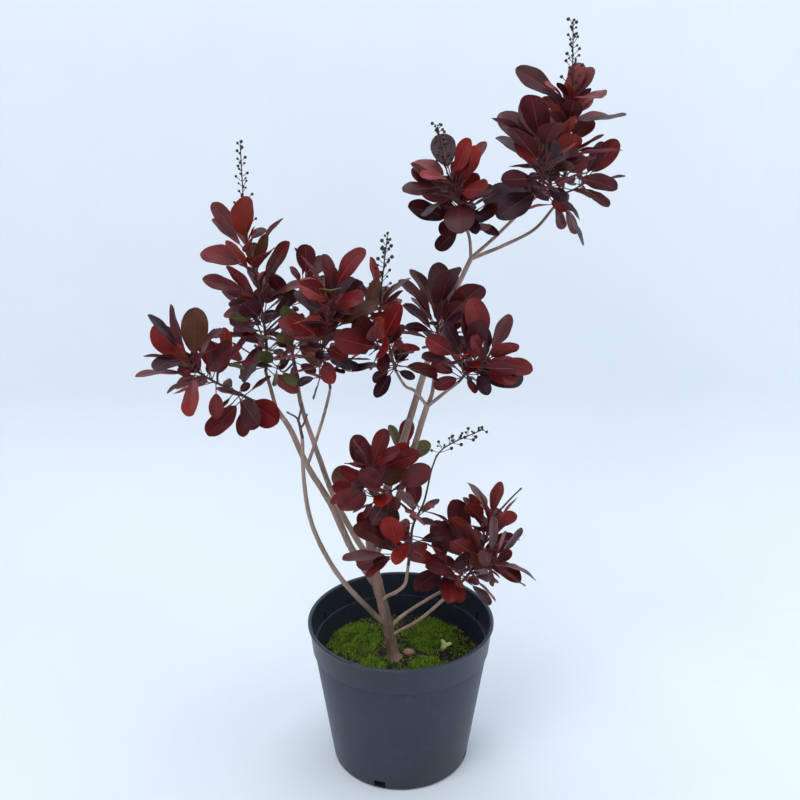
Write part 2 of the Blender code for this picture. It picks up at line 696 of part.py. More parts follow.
def pot_profile():
    """The pot's section, from the underside's centre out, up, over the rim and down inside."""
    collar_foot = POT_HEIGHT - COLLAR_HEIGHT
    lip_foot = POT_HEIGHT - RIM_LIP_HEIGHT
    ledge = ledge_height()
    collar_inner = COLLAR_BOTTOM_RADIUS - WALL
    return (
        (0, 0), (BASE_RADIUS - 0.0025, 0), (wall_radius(0.0025), 0.0025),
        (wall_radius(collar_foot - 0.001), collar_foot - 0.001),
        (COLLAR_BOTTOM_RADIUS, collar_foot), (COLLAR_TOP_RADIUS, lip_foot - 0.0006),
        (RIM_RADIUS - 0.0006, lip_foot), (RIM_RADIUS, lip_foot + 0.0012),
        (RIM_RADIUS, POT_HEIGHT - 0.0014), (RIM_RADIUS - 0.0012, POT_HEIGHT),
        (RIM_RADIUS - 0.0042, POT_HEIGHT), (RIM_RADIUS - 0.0054, POT_HEIGHT - 0.0016),
        (collar_inner, ledge), (collar_inner - LEDGE_WIDTH, ledge - 0.0006),
        (wall_radius(SOIL_LEVEL) - WALL, SOIL_LEVEL), (wall_radius(FLOOR) - WALL, FLOOR),
        (0, FLOOR))


def box(name, size, place, turn):
    """A box of the given size at a point, turned about the Z axis."""
    verts = []
    for x in (-0.5, 0.5):
        for y in (-0.5, 0.5):
            for z in (-0.5, 0.5):
                corner = Vector((x * size.x, y * size.y, z * size.z))
                verts.append(Matrix.Rotation(turn, 3, "Z") @ corner + place)
    faces = [(0, 1, 3, 2), (4, 6, 7, 5), (0, 4, 5, 1), (2, 3, 7, 6), (0, 2, 6, 4), (1, 5, 7, 3)]
    return make_object(name, verts, faces)


def make_pot():
    pot = make_object("pot", *lathe(pot_profile(), POT_SIDES))
    for k in range(DRAIN_SLOTS):
        turn = math.radians(DRAIN_SLOT_ANGLE + 360 * k / DRAIN_SLOTS)
        place = Vector((BASE_RADIUS * math.cos(turn), BASE_RADIUS * math.sin(turn),
                        FLOOR + DRAIN_SLOT_HEIGHT / 2 - 0.0012))
        size = Vector((0.012, DRAIN_SLOT_WIDTH, DRAIN_SLOT_HEIGHT))
        cut(pot, box("drain slot", size, place, turn))
    keep_largest_body(pot)
    finish(pot, POT_COLOUR, 0.42)


def soil_height(x, y):
    """The soil's surface: level round the trunk's foot, and gently uneven elsewhere."""
    bump = math.sin(x * 37 + 1.3) * math.cos(y * 33 - 0.4) + 0.5 * math.sin(x * 49 - y * 41)
    foot = Vector(LIMBS["trunk"].path[0][:2])
    away = (Vector((x, y)) - foot).length / SOIL_FLAT_RADIUS
    return SOIL_LEVEL + SOIL_BUMP * bump * min(max(away - 1, 0.0), 1.0)


def make_soil():
    inside = wall_radius(FLOOR) - WALL - CLEARANCE
    top = wall_radius(SOIL_LEVEL - SOIL_EDGE) - WALL - CLEARANCE
    profile = [(0, FLOOR + CLEARANCE), (inside, FLOOR + CLEARANCE),
               (top, SOIL_LEVEL - SOIL_EDGE)]
    for ring in range(SOIL_RINGS, -1, -1):
        profile.append((top * 0.985 * ring / SOIL_RINGS, SOIL_LEVEL))
    verts, faces = lathe(profile, SOIL_SIDES)
    shrink = math.cos(math.pi / POT_SIDES)
    for vert in verts:
        vert.x *= shrink
        vert.y *= shrink
        if vert.z > SOIL_LEVEL - 0.001:
            vert.z = soil_height(vert.x, vert.y)
    finish(make_object("soil", verts, faces), SOIL_COLOUR, 0.95)


def moss_edge(rng, moss, turn):
    """How far a cushion reaches at an angle, as a share of its size, inside the pot."""
    most = wall_radius(SOIL_LEVEL) - WALL - MOSS_WALL_GAP
    share = rng.uniform(0.86, 1.10)
    while math.hypot(moss.x + moss.across * share * math.cos(turn),
                     moss.y + moss.along * share * math.sin(turn)) > most:
        share *= 0.98
    return share


def make_moss(name, moss):
    """A low cushion that lies on the soil, with an uneven edge and top."""
    rng = random.Random(name)
    turns = [2 * math.pi * k / MOSS_SIDES for k in range(MOSS_SIDES)]
    edge = [moss_edge(rng, moss, turn) for turn in turns]
    spots = [(moss.x, moss.y, 0.0)]
    for ring in range(1, MOSS_RINGS + 1):
        for turn, share in zip(turns, edge):
            reach = share * ring / MOSS_RINGS
            spots.append((moss.x + moss.across * reach * math.cos(turn),
                          moss.y + moss.along * reach * math.sin(turn), ring / MOSS_RINGS))
    bottom = [Vector((x, y, soil_height(x, y) + SEAT_GAP)) for x, y, _ in spots]
    top = []
    for point, (_, _, out) in zip(bottom, spots):
        rise = moss.height * (1 - out ** 2) * rng.uniform(0.8, 1.15) + MOSS_EDGE_HEIGHT
        top.append(point + Vector((0, 0, rise)))
    count = len(spots)
    faces = []
    for start in (0, count):
        for k in range(MOSS_SIDES):
            after = (k + 1) % MOSS_SIDES
            faces.append((start, start + 1 + k, start + 1 + after))
            for ring in range(MOSS_RINGS - 1):
                a = start + 1 + ring * MOSS_SIDES
                faces.append((a + k, a + MOSS_SIDES + k, a + MOSS_SIDES + after, a + after))
    rim = 1 + (MOSS_RINGS - 1) * MOSS_SIDES
    for k in range(MOSS_SIDES):
        after = (k + 1) % MOSS_SIDES
        faces.append((rim + k, rim + after, count + rim + after, count + rim + k))
    finish(make_object(name, bottom + top, faces), MOSS_COLOUR, 0.95)


def make_chip():
    """A bark chip that lies at the trunk's foot."""
    shape = bmesh.new()
    bmesh.ops.create_icosphere(shape, subdivisions=2, radius=1.0)
    rng = random.Random(7)
    lowest = SOIL_LEVEL + SEAT_GAP
    for vert in shape.verts:
        wobble = rng.uniform(0.88, 1.08)
        x, y, z = (vert.co[k] * CHIP_SIZE[k] * wobble for k in range(3))
        vert.co = Vector((CHIP_CENTRE.x + x, CHIP_CENTRE.y + y,
                          max(lowest, lowest + CHIP_SIZE.z * 0.4 + z)))
    mesh = bpy.data.meshes.new("bark_chip")
    shape.to_mesh(mesh)
    shape.free()
    chip = bpy.data.objects.new("bark_chip", mesh)
    bpy.context.scene.collection.objects.link(chip)
    finish(chip, CHIP_COLOUR, 0.8)


def make_limb(name, limb, made):
    """A tapering limb, cut clear of its parent and of the limbs beside it at the fork."""
    obj = make_object(name, *limb_tube(limb))
    for other in made:
        beside = LIMBS[other].parent == limb.parent and limb.parent is not None
        if other == limb.parent or beside:
            cut(obj, make_object("cutter", *limb_tube(LIMBS[other], CLEARANCE)))
            keep_largest_body(obj)
    finish(obj, BARK_COLOUR, 0.75)


def make_mass(name, plan):
    """A mass of foliage: its shoots, fruit and leaves fused into one body."""
    shapes = plan["shoots"] + plan["fruits"] + [leaf_shape(leaf) for leaf in plan["leaves"]]
    pieces = [make_object(f"{name} piece", *shape) for shape in shapes]
    obj = pieces[0]
    obj.name = name
    join(obj, pieces[1:])
    finish(obj, LEAF_COLOUR if plan["leaves"] else TWIG_COLOUR, 0.55)


def main():
    clear_scene()
    make_pot()
    make_soil()
    for name, moss in MOSS_CUSHIONS.items():
        make_moss(name, moss)
    make_chip()
    made = []
    for name, limb in LIMBS.items():
        make_limb(name, limb, made)
        made.append(name)
    for name, plan in plan_plant().items():
        make_mass(name, plan)


if __name__ == "__main__":
    main()
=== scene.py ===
"""The looks of a potted smoke bush: leaves, twigs, bark, fruit, moss, soil and pot."""

import json
import math
import random
from collections import namedtuple
from functools import cache

import bmesh
import bpy
from mathutils import Matrix, Vector, noise
from mathutils.bvhtree import BVHTree

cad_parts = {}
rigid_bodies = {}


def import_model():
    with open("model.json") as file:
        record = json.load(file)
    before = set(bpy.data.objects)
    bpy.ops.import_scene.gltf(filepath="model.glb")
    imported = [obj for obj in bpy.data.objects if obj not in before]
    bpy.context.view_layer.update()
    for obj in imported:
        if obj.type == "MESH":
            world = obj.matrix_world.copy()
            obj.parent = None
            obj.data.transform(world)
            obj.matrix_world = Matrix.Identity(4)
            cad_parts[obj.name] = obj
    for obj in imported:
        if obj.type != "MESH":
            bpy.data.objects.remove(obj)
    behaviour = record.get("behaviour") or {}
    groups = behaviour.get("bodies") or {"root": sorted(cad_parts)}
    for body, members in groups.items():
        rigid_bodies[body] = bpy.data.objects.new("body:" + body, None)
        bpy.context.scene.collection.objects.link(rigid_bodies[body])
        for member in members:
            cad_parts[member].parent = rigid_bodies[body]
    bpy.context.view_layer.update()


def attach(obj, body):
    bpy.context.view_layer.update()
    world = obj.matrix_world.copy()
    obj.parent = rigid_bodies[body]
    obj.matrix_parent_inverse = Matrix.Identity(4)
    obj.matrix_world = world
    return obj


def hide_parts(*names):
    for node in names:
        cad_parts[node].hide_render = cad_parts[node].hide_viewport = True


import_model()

# Pot
POT_HEIGHT = 0.217
RIM_RADIUS = 0.130
RIM_LIP_HEIGHT = 0.0045
LIP_STEP = 0.0006
LIP_ROUND = 0.0012
RIM_ROUND = 0.0014
RIM_INNER_EDGE = 0.0042
RIM_INNER_WALL = 0.0054
RIM_INNER_ROUND = 0.0016
COLLAR_TOP_RADIUS = 0.1276
COLLAR_BOTTOM_RADIUS = 0.1240
COLLAR_HEIGHT = 0.041
COLLAR_OVERHANG = 0.0020
COLLAR_CHAMFER = 0.001
BASE_RADIUS = 0.0967
BASE_CHAMFER = 0.0025
WALL = 0.0024
FLOOR = 0.0040
LEDGE_RISE = 0.006
LEDGE_WIDTH = 0.0028
LEDGE_SLOPE = 0.0006
POT_SIDES = 48
DRAIN_SLOTS = 4
DRAIN_SLOT_WIDTH = 0.0165
DRAIN_SLOT_HEIGHT = 0.0105
DRAIN_SLOT_DEPTH = 0.012
DRAIN_SLOT_DROP = 0.0012
DRAIN_SLOT_ANGLE = -107.3

# Soil and what lies on it
SOIL_LEVEL = 0.150
SOIL_BUMP = 0.0022
SOIL_FLAT_RADIUS = 0.036
MOSS_WALL_GAP = 0.003
CHIP_CENTRE = Vector((0.0115, 0.0110, 0.0))
CHIP_SIZE = Vector((0.0085, 0.0065, 0.0048))

# Gap between solids that touch on the real plant
CLEARANCE = 0.0003

# Limbs
TRUNK_FLARE = 0.45
FLARE_HEIGHT = 0.016
FLARE_STATION = 0.35
STATION_SPACING = 0.026
TRUNK_SIDES = 12
STEM_SIDES = 8
TWIG_SIDES = 6
THIN_LIMB = 0.0035
SHOOT_SIDES = 4
SHOOT_TIP_RADIUS = 0.0010
SIDE_SHOOT_RADIUS = 0.0015
SHOOT_SPACING = 0.028
SHOOT_COLLAR = 0.003

# Leaves. Spreads are degrees to either side, and pairs are the least and the most.
LEAVES_PER_TIER = 3
SEEDS_PER_MASS = 10
ATTEMPTS = 10
GOLDEN_ANGLE = 137.5
LEAF_THICKNESS = 0.0011
STALK_RADIUS = 0.0008
LEAF_FOLD = 0.12
LEAF_STATIONS = (0.22, 0.60, 0.95)
LEAF_MARGIN = 0.0010
LEAF_REACH = 1.65
LEAF_WIDEST = 2.423
LEAF_FOOT_POWER = 0.75
LEAF_TIP_POWER = 0.55
LEAST_BEND = 0.01
OPEN_AT_FOOT = 100.0
OPEN_AT_TIP = 38.0
OPENING_SPREAD = 32
AZIMUTH_SPREAD = 35
ROLL_SPREAD = 50
PLACE_SPREAD = 0.04
LENGTH_SHARES = (0.72, 1.18)
STALK_SHARES = (0.28, 0.46)
WIDTH_SHARES = (0.25, 0.33)
BENDS = (-8, 38)
LIFT = 0.18
FREE_STALK_FROM = 0.35

# Fruit stalks
FRUIT_RADIUS = 0.0021
FRUIT_RADIUS_SHARES = (0.8, 1.15)
FRUIT_STALK_RADIUS = 0.0006
FRUIT_STALK_SIDES = 4
FRUIT_STALK_LONG = 0.017
FRUIT_STALK_SHORT = 0.004
FRUIT_REACH_SHARES = (0.75, 1.25)
FRUIT_TURN_SPREAD = 20
FRUIT_LEANS = (35, 65)
FRUIT_SHOULDER = 1.1
FRUIT_LENGTH = 2.1
PANICLE_STALK_RADIUS = 0.0010
PANICLE_TAPER = 0.35
PANICLE_BARE_PART = 0.16

Limb = namedtuple("Limb", "parent base tip path")
Shoot = namedtuple("Shoot", "start path leaf tiers")
Panicle = namedtuple("Panicle", "path fruits seed")
Mass = namedtuple("Mass", "bough shoots panicle")
Leaf = namedtuple("Leaf", "root stalk_end forward across normal length half_width bend")
Moss = namedtuple("Moss", "x y across along height")

# Each limb's parent, radius at its base and tip, and the points that its axis runs through
LIMBS = {
    "trunk": Limb(None, 0.0080, 0.0067, (
        (-0.010, 0.000, 0.1503), (-0.019, 0.000, 0.209), (-0.034, 0.003, 0.277),
        (-0.041, 0.005, 0.331), (-0.041, 0.006, 0.361))),
    "leader_stem": Limb("trunk", 0.0058, 0.0031, (
        (-0.040, 0.006, 0.350), (-0.005, 0.020, 0.449), (0.036, 0.045, 0.580),
        (0.064, 0.060, 0.654), (0.093, 0.075, 0.714))),
    "leader_top_twig": Limb("leader_stem", 0.0022, 0.0018, (
        (0.092, 0.075, 0.710), (0.089, 0.068, 0.738), (0.083, 0.058, 0.757))),
    "right_upper_bough": Limb("leader_stem", 0.0024, 0.0018, (
        (0.092, 0.0745, 0.712), (0.129, 0.072, 0.747), (0.166, 0.060, 0.789),
        (0.175, 0.058, 0.795))),
    "right_outer_bough": Limb("leader_stem", 0.0026, 0.0019, (
        (0.092, 0.0745, 0.711), (0.141, 0.098, 0.726), (0.180, 0.120, 0.742),
        (0.207, 0.135, 0.770))),
    "middle_stem": Limb("trunk", 0.0050, 0.0037, (
        (-0.038, 0.004, 0.308), (-0.017, -0.008, 0.360), (0.008, -0.030, 0.456),
        (0.033, -0.050, 0.554))),
    "middle_left_twig": Limb("middle_stem", 0.0022, 0.0016, (
        (0.033, -0.050, 0.551), (0.018, -0.062, 0.575), (0.005, -0.075, 0.587),
        (-0.006, -0.085, 0.609))),
    "middle_top_twig": Limb("middle_stem", 0.0027, 0.0021, (
        (0.033, -0.050, 0.551), (0.039, -0.048, 0.568), (0.042, -0.040, 0.591),
        (0.044, -0.035, 0.604))),
    "middle_right_twig": Limb("middle_stem", 0.0024, 0.0018, (
        (0.033, -0.050, 0.551), (0.053, -0.065, 0.574), (0.070, -0.080, 0.594))),
    "left_stem": Limb("trunk", 0.0052, 0.0033, (
        (-0.037, 0.003, 0.270), (-0.067, -0.010, 0.331), (-0.093, -0.018, 0.401),
        (-0.122, -0.020, 0.457), (-0.144, -0.010, 0.505), (-0.163, 0.000, 0.530))),
    "left_upper_bough": Limb("left_stem", 0.0027, 0.0022, (
        (-0.162, -0.001, 0.528), (-0.171, 0.018, 0.553), (-0.178, 0.032, 0.569))),
    "far_left_bough": Limb("left_stem", 0.0024, 0.0020, (
        (-0.162, -0.001, 0.528), (-0.176, -0.006, 0.538), (-0.190, -0.017, 0.547))),
    "left_middle_stem": Limb("trunk", 0.0045, 0.0028, (
        (-0.038, 0.006, 0.302), (-0.049, 0.012, 0.312), (-0.089, 0.030, 0.381),
        (-0.120, 0.052, 0.463), (-0.136, 0.062, 0.513), (-0.142, 0.070, 0.556))),
    "left_low_stem": Limb("trunk", 0.0040, 0.0022, (
        (-0.021, 0.000, 0.209), (-0.033, -0.004, 0.220), (-0.077, -0.030, 0.290),
        (-0.104, -0.045, 0.350), (-0.118, -0.060, 0.406), (-0.122, -0.075, 0.466),
        (-0.121, -0.085, 0.523))),
    "centre_bough": Limb("left_stem", 0.0023, 0.0018, (
        (-0.122, -0.020, 0.458), (-0.110, -0.035, 0.495), (-0.099, -0.050, 0.531),
        (-0.090, -0.065, 0.565), (-0.086, -0.075, 0.584))),
    "low_right_stem": Limb("trunk", 0.0028, 0.0021, (
        (-0.016, 0.000, 0.196), (-0.005, 0.010, 0.206), (0.020, 0.020, 0.221),
        (0.071, 0.030, 0.250))),
    "low_right_front_stem": Limb("trunk", 0.0027, 0.0020, (
        (-0.015, 0.000, 0.184), (-0.004, -0.006, 0.197), (0.029, -0.020, 0.228),
        (0.074, -0.040, 0.287))),
    "low_curved_twig": Limb("trunk", 0.0028, 0.0021, (
        (-0.027, 0.000, 0.243), (-0.018, -0.010, 0.257), (-0.005, -0.020, 0.270),
        (0.006, -0.028, 0.287), (0.010, -0.032, 0.317))),
    "low_left_twig": Limb("trunk", 0.0024, 0.0019, (
        (-0.041, 0.005, 0.354), (-0.037, -0.006, 0.379), (-0.032, -0.020, 0.402))),
}

# Each mass's bough, its shoots and its stalk of old fruit. The first shoot grows on from
# the bough's tip, or where it has a start, leaves the bough at that fraction of its length.
# Each other shoot leaves the first one at its start. A tier is three leaves at a fraction of
# the shoot's length, and is seeded by its mass's number and by its own within the mass.
MASSES = {
    "far_left_foliage": Mass("far_left_bough", (
        Shoot(0, ((-0.211, -0.035, 0.567), (-0.233, -0.048, 0.584),
                  (-0.251, -0.062, 0.603), (-0.259, -0.075, 0.624)), 0.055,
              (0.22, 0.62, 0.80, 0.98)),
        Shoot(0.48, ((-0.228, -0.040, 0.593), (-0.220, -0.035, 0.604)), 0.034,
              (0.95,))), None),
    "left_top_foliage": Mass("left_upper_bough", (
        Shoot(0, ((-0.177, 0.045, 0.595), (-0.181, 0.055, 0.636), (-0.188, 0.062, 0.679),
                  (-0.196, 0.065, 0.718), (-0.200, 0.065, 0.738)), 0.056,
              (0.16, 0.30, 0.42, 0.56, 0.74, 0.95)),
        Shoot(0.30, ((-0.157, 0.075, 0.635), (-0.141, 0.090, 0.656),
                     (-0.126, 0.100, 0.674)), 0.040,
              (0.60, 0.98)),
        Shoot(0.22, ((-0.189, 0.090, 0.602), (-0.201, 0.120, 0.618)), 0.046,
              (0.95,))),
        Panicle(((-0.201, 0.066, 0.790), (-0.202, 0.070, 0.857)), 17, 1)),
    "left_inner_foliage": Mass("left_middle_stem", (
        Shoot(0, ((-0.144, 0.060, 0.579), (-0.143, 0.040, 0.604), (-0.134, 0.020, 0.625)),
              0.036, (0.35, 0.65, 0.98)),
        Shoot(0.20, ((-0.154, 0.030, 0.570), (-0.160, 0.010, 0.584)), 0.034,
              (0.95,))), None),
    "centre_foliage": Mass("centre_bough", (
        Shoot(0, ((-0.088, -0.082, 0.606), (-0.094, -0.092, 0.635), (-0.085, -0.100, 0.663),
                  (-0.081, -0.105, 0.685), (-0.079, -0.110, 0.706)), 0.048,
              (0.42, 0.60, 0.74, 0.88, 1.00)),
        Shoot(0.05, ((-0.077, -0.080, 0.613), (-0.065, -0.085, 0.639),
                     (-0.054, -0.090, 0.668), (-0.043, -0.092, 0.682)), 0.038,
              (0.35, 0.62, 0.98)),
        Shoot(0.06, ((-0.091, -0.085, 0.597), (-0.098, -0.095, 0.606)), 0.026,
              (0.90,))), None),
    "upper_centre_foliage": Mass("middle_left_twig", (
        Shoot(0, ((-0.012, -0.092, 0.635), (-0.017, -0.085, 0.653), (-0.024, -0.070, 0.671),
                  (-0.025, -0.062, 0.687)), 0.042,
              (0.12, 0.40, 0.85, 1.00)),
        Shoot(0.30, ((-0.017, -0.110, 0.637), (-0.024, -0.120, 0.650)), 0.052,
              (0.95,))),
        Panicle(((-0.021, -0.061, 0.725), (-0.016, -0.060, 0.765)), 17, 2)),
    "right_front_foliage": Mass("middle_top_twig", (
        Shoot(0, ((0.045, -0.030, 0.621), (0.046, -0.025, 0.636), (0.046, -0.020, 0.654)),
              0.055, (0.55, 0.80, 1.00)),), None),
    "right_foliage": Mass("middle_right_twig", (
        Shoot(0, ((0.080, -0.090, 0.610), (0.091, -0.100, 0.622), (0.101, -0.108, 0.632)),
              0.047, (0.30, 0.65, 0.98)),
        Shoot(0.25, ((0.072, -0.100, 0.620), (0.073, -0.110, 0.634)), 0.040,
              (0.95,))), None),
    "top_middle_foliage": Mass("leader_top_twig", (
        Shoot(0, ((0.078, 0.045, 0.777), (0.072, 0.030, 0.797), (0.064, 0.020, 0.816),
                  (0.057, 0.012, 0.829)), 0.053,
              (0.12, 0.36, 0.52, 0.68, 0.84)),
        Shoot(0.80, ((0.033, 0.000, 0.824), (0.018, -0.005, 0.836)), 0, ())),
        Panicle(((0.049, 0.010, 0.858), (0.044, 0.010, 0.887)), 15, 3)),
    "upper_right_foliage": Mass("right_upper_bough", (
        Shoot(0, ((0.178, 0.048, 0.809), (0.178, 0.035, 0.828), (0.171, 0.025, 0.854)),
              0.054, (0.20, 0.45, 0.72, 0.98)),), None),
    "top_right_foliage": Mass("right_outer_bough", (
        Shoot(0, ((0.215, 0.138, 0.783), (0.219, 0.138, 0.814), (0.216, 0.132, 0.849),
                  (0.217, 0.122, 0.886), (0.219, 0.115, 0.913)), 0.055,
              (0.10, 0.28, 0.46, 0.62, 0.78, 0.92)),
        Shoot(0.12, ((0.233, 0.150, 0.789), (0.248, 0.165, 0.795)), 0.050,
              (0.95,))),
        Panicle(((0.216, 0.106, 0.960), (0.213, 0.100, 1.003)), 20, 4)),
    "low_left_foliage": Mass("low_left_twig", (
        Shoot(0, ((-0.032, -0.035, 0.426), (-0.036, -0.050, 0.450), (-0.038, -0.060, 0.471)),
              0.052, (0.20, 0.60, 0.98)),
        Shoot(0.30, ((-0.020, -0.050, 0.429), (-0.009, -0.065, 0.444)), 0.055,
              (0.85,))), None),
    "low_middle_foliage": Mass("low_curved_twig", (
        Shoot(0, ((0.013, -0.040, 0.351), (0.016, -0.045, 0.383), (0.030, -0.045, 0.417),
                  (0.039, -0.045, 0.461), (0.045, -0.045, 0.480)), 0.036,
              (0.30, 0.55)),
        Shoot(0.10, ((0.002, -0.050, 0.340), (-0.006, -0.065, 0.354)), 0.058,
              (0.90,))),
        Panicle(((0.054, -0.045, 0.492), (0.070, -0.045, 0.502), (0.104, -0.045, 0.518)),
                13, 5)),
    "low_back_foliage": Mass("low_right_stem", (
        Shoot(0, ((0.082, 0.020, 0.268), (0.089, 0.005, 0.294), (0.094, -0.010, 0.319)),
              0.055, (0.50, 0.95)),
        Shoot(0.25, ((0.071, 0.000, 0.285), (0.063, -0.020, 0.309)), 0.058,
              (0.95,))), None),
    "low_right_foliage": Mass("low_right_front_stem", (
        Shoot(0, ((0.087, -0.045, 0.306), (0.103, -0.040, 0.329), (0.112, -0.030, 0.352),
                  (0.118, -0.020, 0.378)), 0.050,
              (0.25, 0.55, 0.78, 1.00)),
        Shoot(0.35, ((0.111, -0.055, 0.327), (0.122, -0.065, 0.338)), 0.052,
              (0.95,)),
        Shoot(0.97, ((0.143, -0.015, 0.404), (0.158, -0.010, 0.418)), 0, ())), None),
    "low_behind_foliage": Mass("leader_stem", (
        Shoot(0.27, ((-0.004, 0.045, 0.433), (0.002, 0.055, 0.439)), 0.045,
              (0.90,)),), None),
    "dead_spray": Mass("left_low_stem", (
        Shoot(0, ((-0.123, -0.090, 0.540), (-0.126, -0.093, 0.552), (-0.135, -0.095, 0.559)),
              0, ()),
        Shoot(0.35, ((-0.118, -0.096, 0.545), (-0.114, -0.098, 0.556)), 0, ()),
        Shoot(0.60, ((-0.121, -0.098, 0.562), (-0.119, -0.100, 0.571)), 0, ())), None),
}

MOSS_CUSHIONS = {
    "moss_left": Moss(-0.068, 0.048, 0.034, 0.038, 0.0105),
    "moss_front_left": Moss(-0.045, -0.031, 0.020, 0.028, 0.0110),
    "moss_right": Moss(0.044, 0.059, 0.034, 0.042, 0.0110),
    "moss_front_right": Moss(0.042, -0.029, 0.028, 0.026, 0.0100),
}


def smooth_line(points, spacing):
    """Points about this far apart on a smooth curve through the given ones."""
    points = [Vector(point) for point in points]
    ends = [points[0] * 2 - points[1], *points, points[-1] * 2 - points[-2]]
    line = [points[0].copy()]
    for before, a, b, after in zip(ends, ends[1:], ends[2:], ends[3:]):
        steps = max(1, math.ceil((b - a).length / spacing))
        for step in range(1, steps + 1):
            t = step / steps
            line.append(0.5 * (2 * a + (b - before) * t
                               + (2 * before - 5 * a + 4 * b - after) * t ** 2
                               + (3 * a - before - 3 * b + after) * t ** 3))
    return line


def along(line, fraction):
    """The point and the direction at a fraction of a line's length."""
    lengths = [(b - a).length for a, b in zip(line, line[1:])]
    left = sum(lengths) * min(max(fraction, 0.0), 1.0)
    for a, b, length in zip(line, line[1:], lengths):
        if left <= length or b is line[-1]:
            return a.lerp(b, min(left / length, 1.0)), (b - a).normalized()
        left -= length


def circle(sides):
    """The cosine and sine of each corner of a regular ring."""
    turns = [2 * math.pi * k / sides for k in range(sides)]
    return [(math.cos(turn), math.sin(turn)) for turn in turns]


def wall_faces(steps, sides):
    """The faces between rings of corners that follow one another."""
    faces = []
    for ring in range(steps):
        for k in range(sides):
            a = ring * sides + k
            b = ring * sides + (k + 1) % sides
            faces.append((a, b, b + sides, a + sides))
    return faces


def tube(line, radii, sides):
    """Vertices and faces of a closed round limb along a line."""
    verts = []
    ends = [line[0], *line, line[-1]]
    tangents = [(after - before).normalized() for before, after in zip(ends, ends[2:])]
    side = tangents[0].orthogonal().normalized()
    corners = circle(sides)
    for point, radius, tangent in zip(line, radii, tangents):
        side = (side - tangent * side.dot(tangent)).normalized()
        other = tangent.cross(side)
        verts += [point + (side * c + other * s) * radius for c, s in corners]
    faces = wall_faces(len(line) - 1, sides)
    faces.append(tuple(reversed(range(sides))))
    faces.append(tuple(range(len(verts) - sides, len(verts))))
    return verts, faces


def taper(line, first, last):
    """A radius for each point of a line, from the first to the last."""
    total = len(line) - 1
    return [first + (last - first) * i / total for i in range(total + 1)]


def limb_radius(limb, fraction, height):
    radius = limb.base + (limb.tip - limb.base) * fraction
    if limb.parent is None:
        above = height - limb.path[0][2]
        radius *= 1 + TRUNK_FLARE * max(0.0, 1 - above / FLARE_HEIGHT) ** 2
    return radius


def limb_radii(limb, line):
    total = len(line) - 1
    return [limb_radius(limb, i / total, point.z) for i, point in enumerate(line)]


def limb_sides(limb, choices=(TRUNK_SIDES, STEM_SIDES, TWIG_SIDES)):
    """How many sides a limb has, by whether it is the trunk, a stem or a twig."""
    if limb.parent is None:
        return choices[0]
    return choices[1] if limb.base > THIN_LIMB else choices[2]


def limb_tube(limb):
    line = smooth_line(limb.path, STATION_SPACING)
    if limb.parent is None:
        line.insert(1, line[0].lerp(line[1], FLARE_STATION))
    verts, faces = tube(line, limb_radii(limb, line), limb_sides(limb))
    if limb.parent is None:
        for vert in verts[:TRUNK_SIDES]:
            vert.z = limb.path[0][2]
    return verts, faces


def shoot_root(mass):
    """Where a mass's first shoot starts on its bough, which way it sets off, and how thick."""
    bough = LIMBS[mass.bough]
    line = smooth_line(bough.path, STATION_SPACING)
    start = mass.shoots[0].start
    if not start:
        heading = (line[-1] - line[-2]).normalized()
        return line[-1] + heading * CLEARANCE, heading, bough.tip
    point, heading = along(line, start)
    outward = Vector(mass.shoots[0].path[0]) - point
    outward = (outward - heading * outward.dot(heading)).normalized()
    radius = limb_radius(bough, start, point.z)
    return point + outward * (radius + CLEARANCE), outward, SIDE_SHOOT_RADIUS


def shoot_lines(mass):
    """The axis of each of a mass's shoots, from its root, and its radius there."""
    first, heading, radius = shoot_root(mass)
    main = smooth_line((first, *mass.shoots[0].path), SHOOT_SPACING)
    main.insert(1, first + heading * SHOOT_COLLAR)
    lines = [(main, radius)]
    for shoot in mass.shoots[1:]:
        first, _ = along(main, shoot.start)
        lines.append((smooth_line((first, *shoot.path), SHOOT_SPACING), SIDE_SHOOT_RADIUS))
    return lines


def fruit_places(mass, main_line):
    """A fruit stalk's axis and radii, and each fruit's root, heading, reach and radius."""
    rng = random.Random(mass.panicle.seed)
    line = smooth_line((main_line[-2].lerp(main_line[-1], 0.5), main_line[-1],
                        *mass.panicle.path), SHOOT_SPACING)
    total = len(line) - 1
    radii = [PANICLE_STALK_RADIUS * (1 - PANICLE_TAPER * i / total) for i in range(total + 1)]
    fruits = []
    for i in range(mass.panicle.fruits):
        place = PANICLE_BARE_PART + (1 - PANICLE_BARE_PART) * (i + 1) / mass.panicle.fruits
        root, heading = along(line, place)
        turn = i * GOLDEN_ANGLE + rng.uniform(-FRUIT_TURN_SPREAD, FRUIT_TURN_SPREAD)
        side = Matrix.Rotation(math.radians(turn), 3, heading) @ heading.orthogonal().normalized()
        lean = math.radians(rng.uniform(*FRUIT_LEANS))
        forward = heading * math.cos(lean) + side * math.sin(lean)
        reach = FRUIT_STALK_LONG + (FRUIT_STALK_SHORT - FRUIT_STALK_LONG) * place
        reach *= rng.uniform(*FRUIT_REACH_SHARES)
        fruits.append((root, forward, reach, FRUIT_RADIUS * rng.uniform(*FRUIT_RADIUS_SHARES)))
    return line, radii, fruits


def fruit_shapes(mass, main_line):
    line, radii, fruits = fruit_places(mass, main_line)
    return [tube(line, radii, FRUIT_STALK_SIDES)] + [fruit_shape(*fruit) for fruit in fruits]


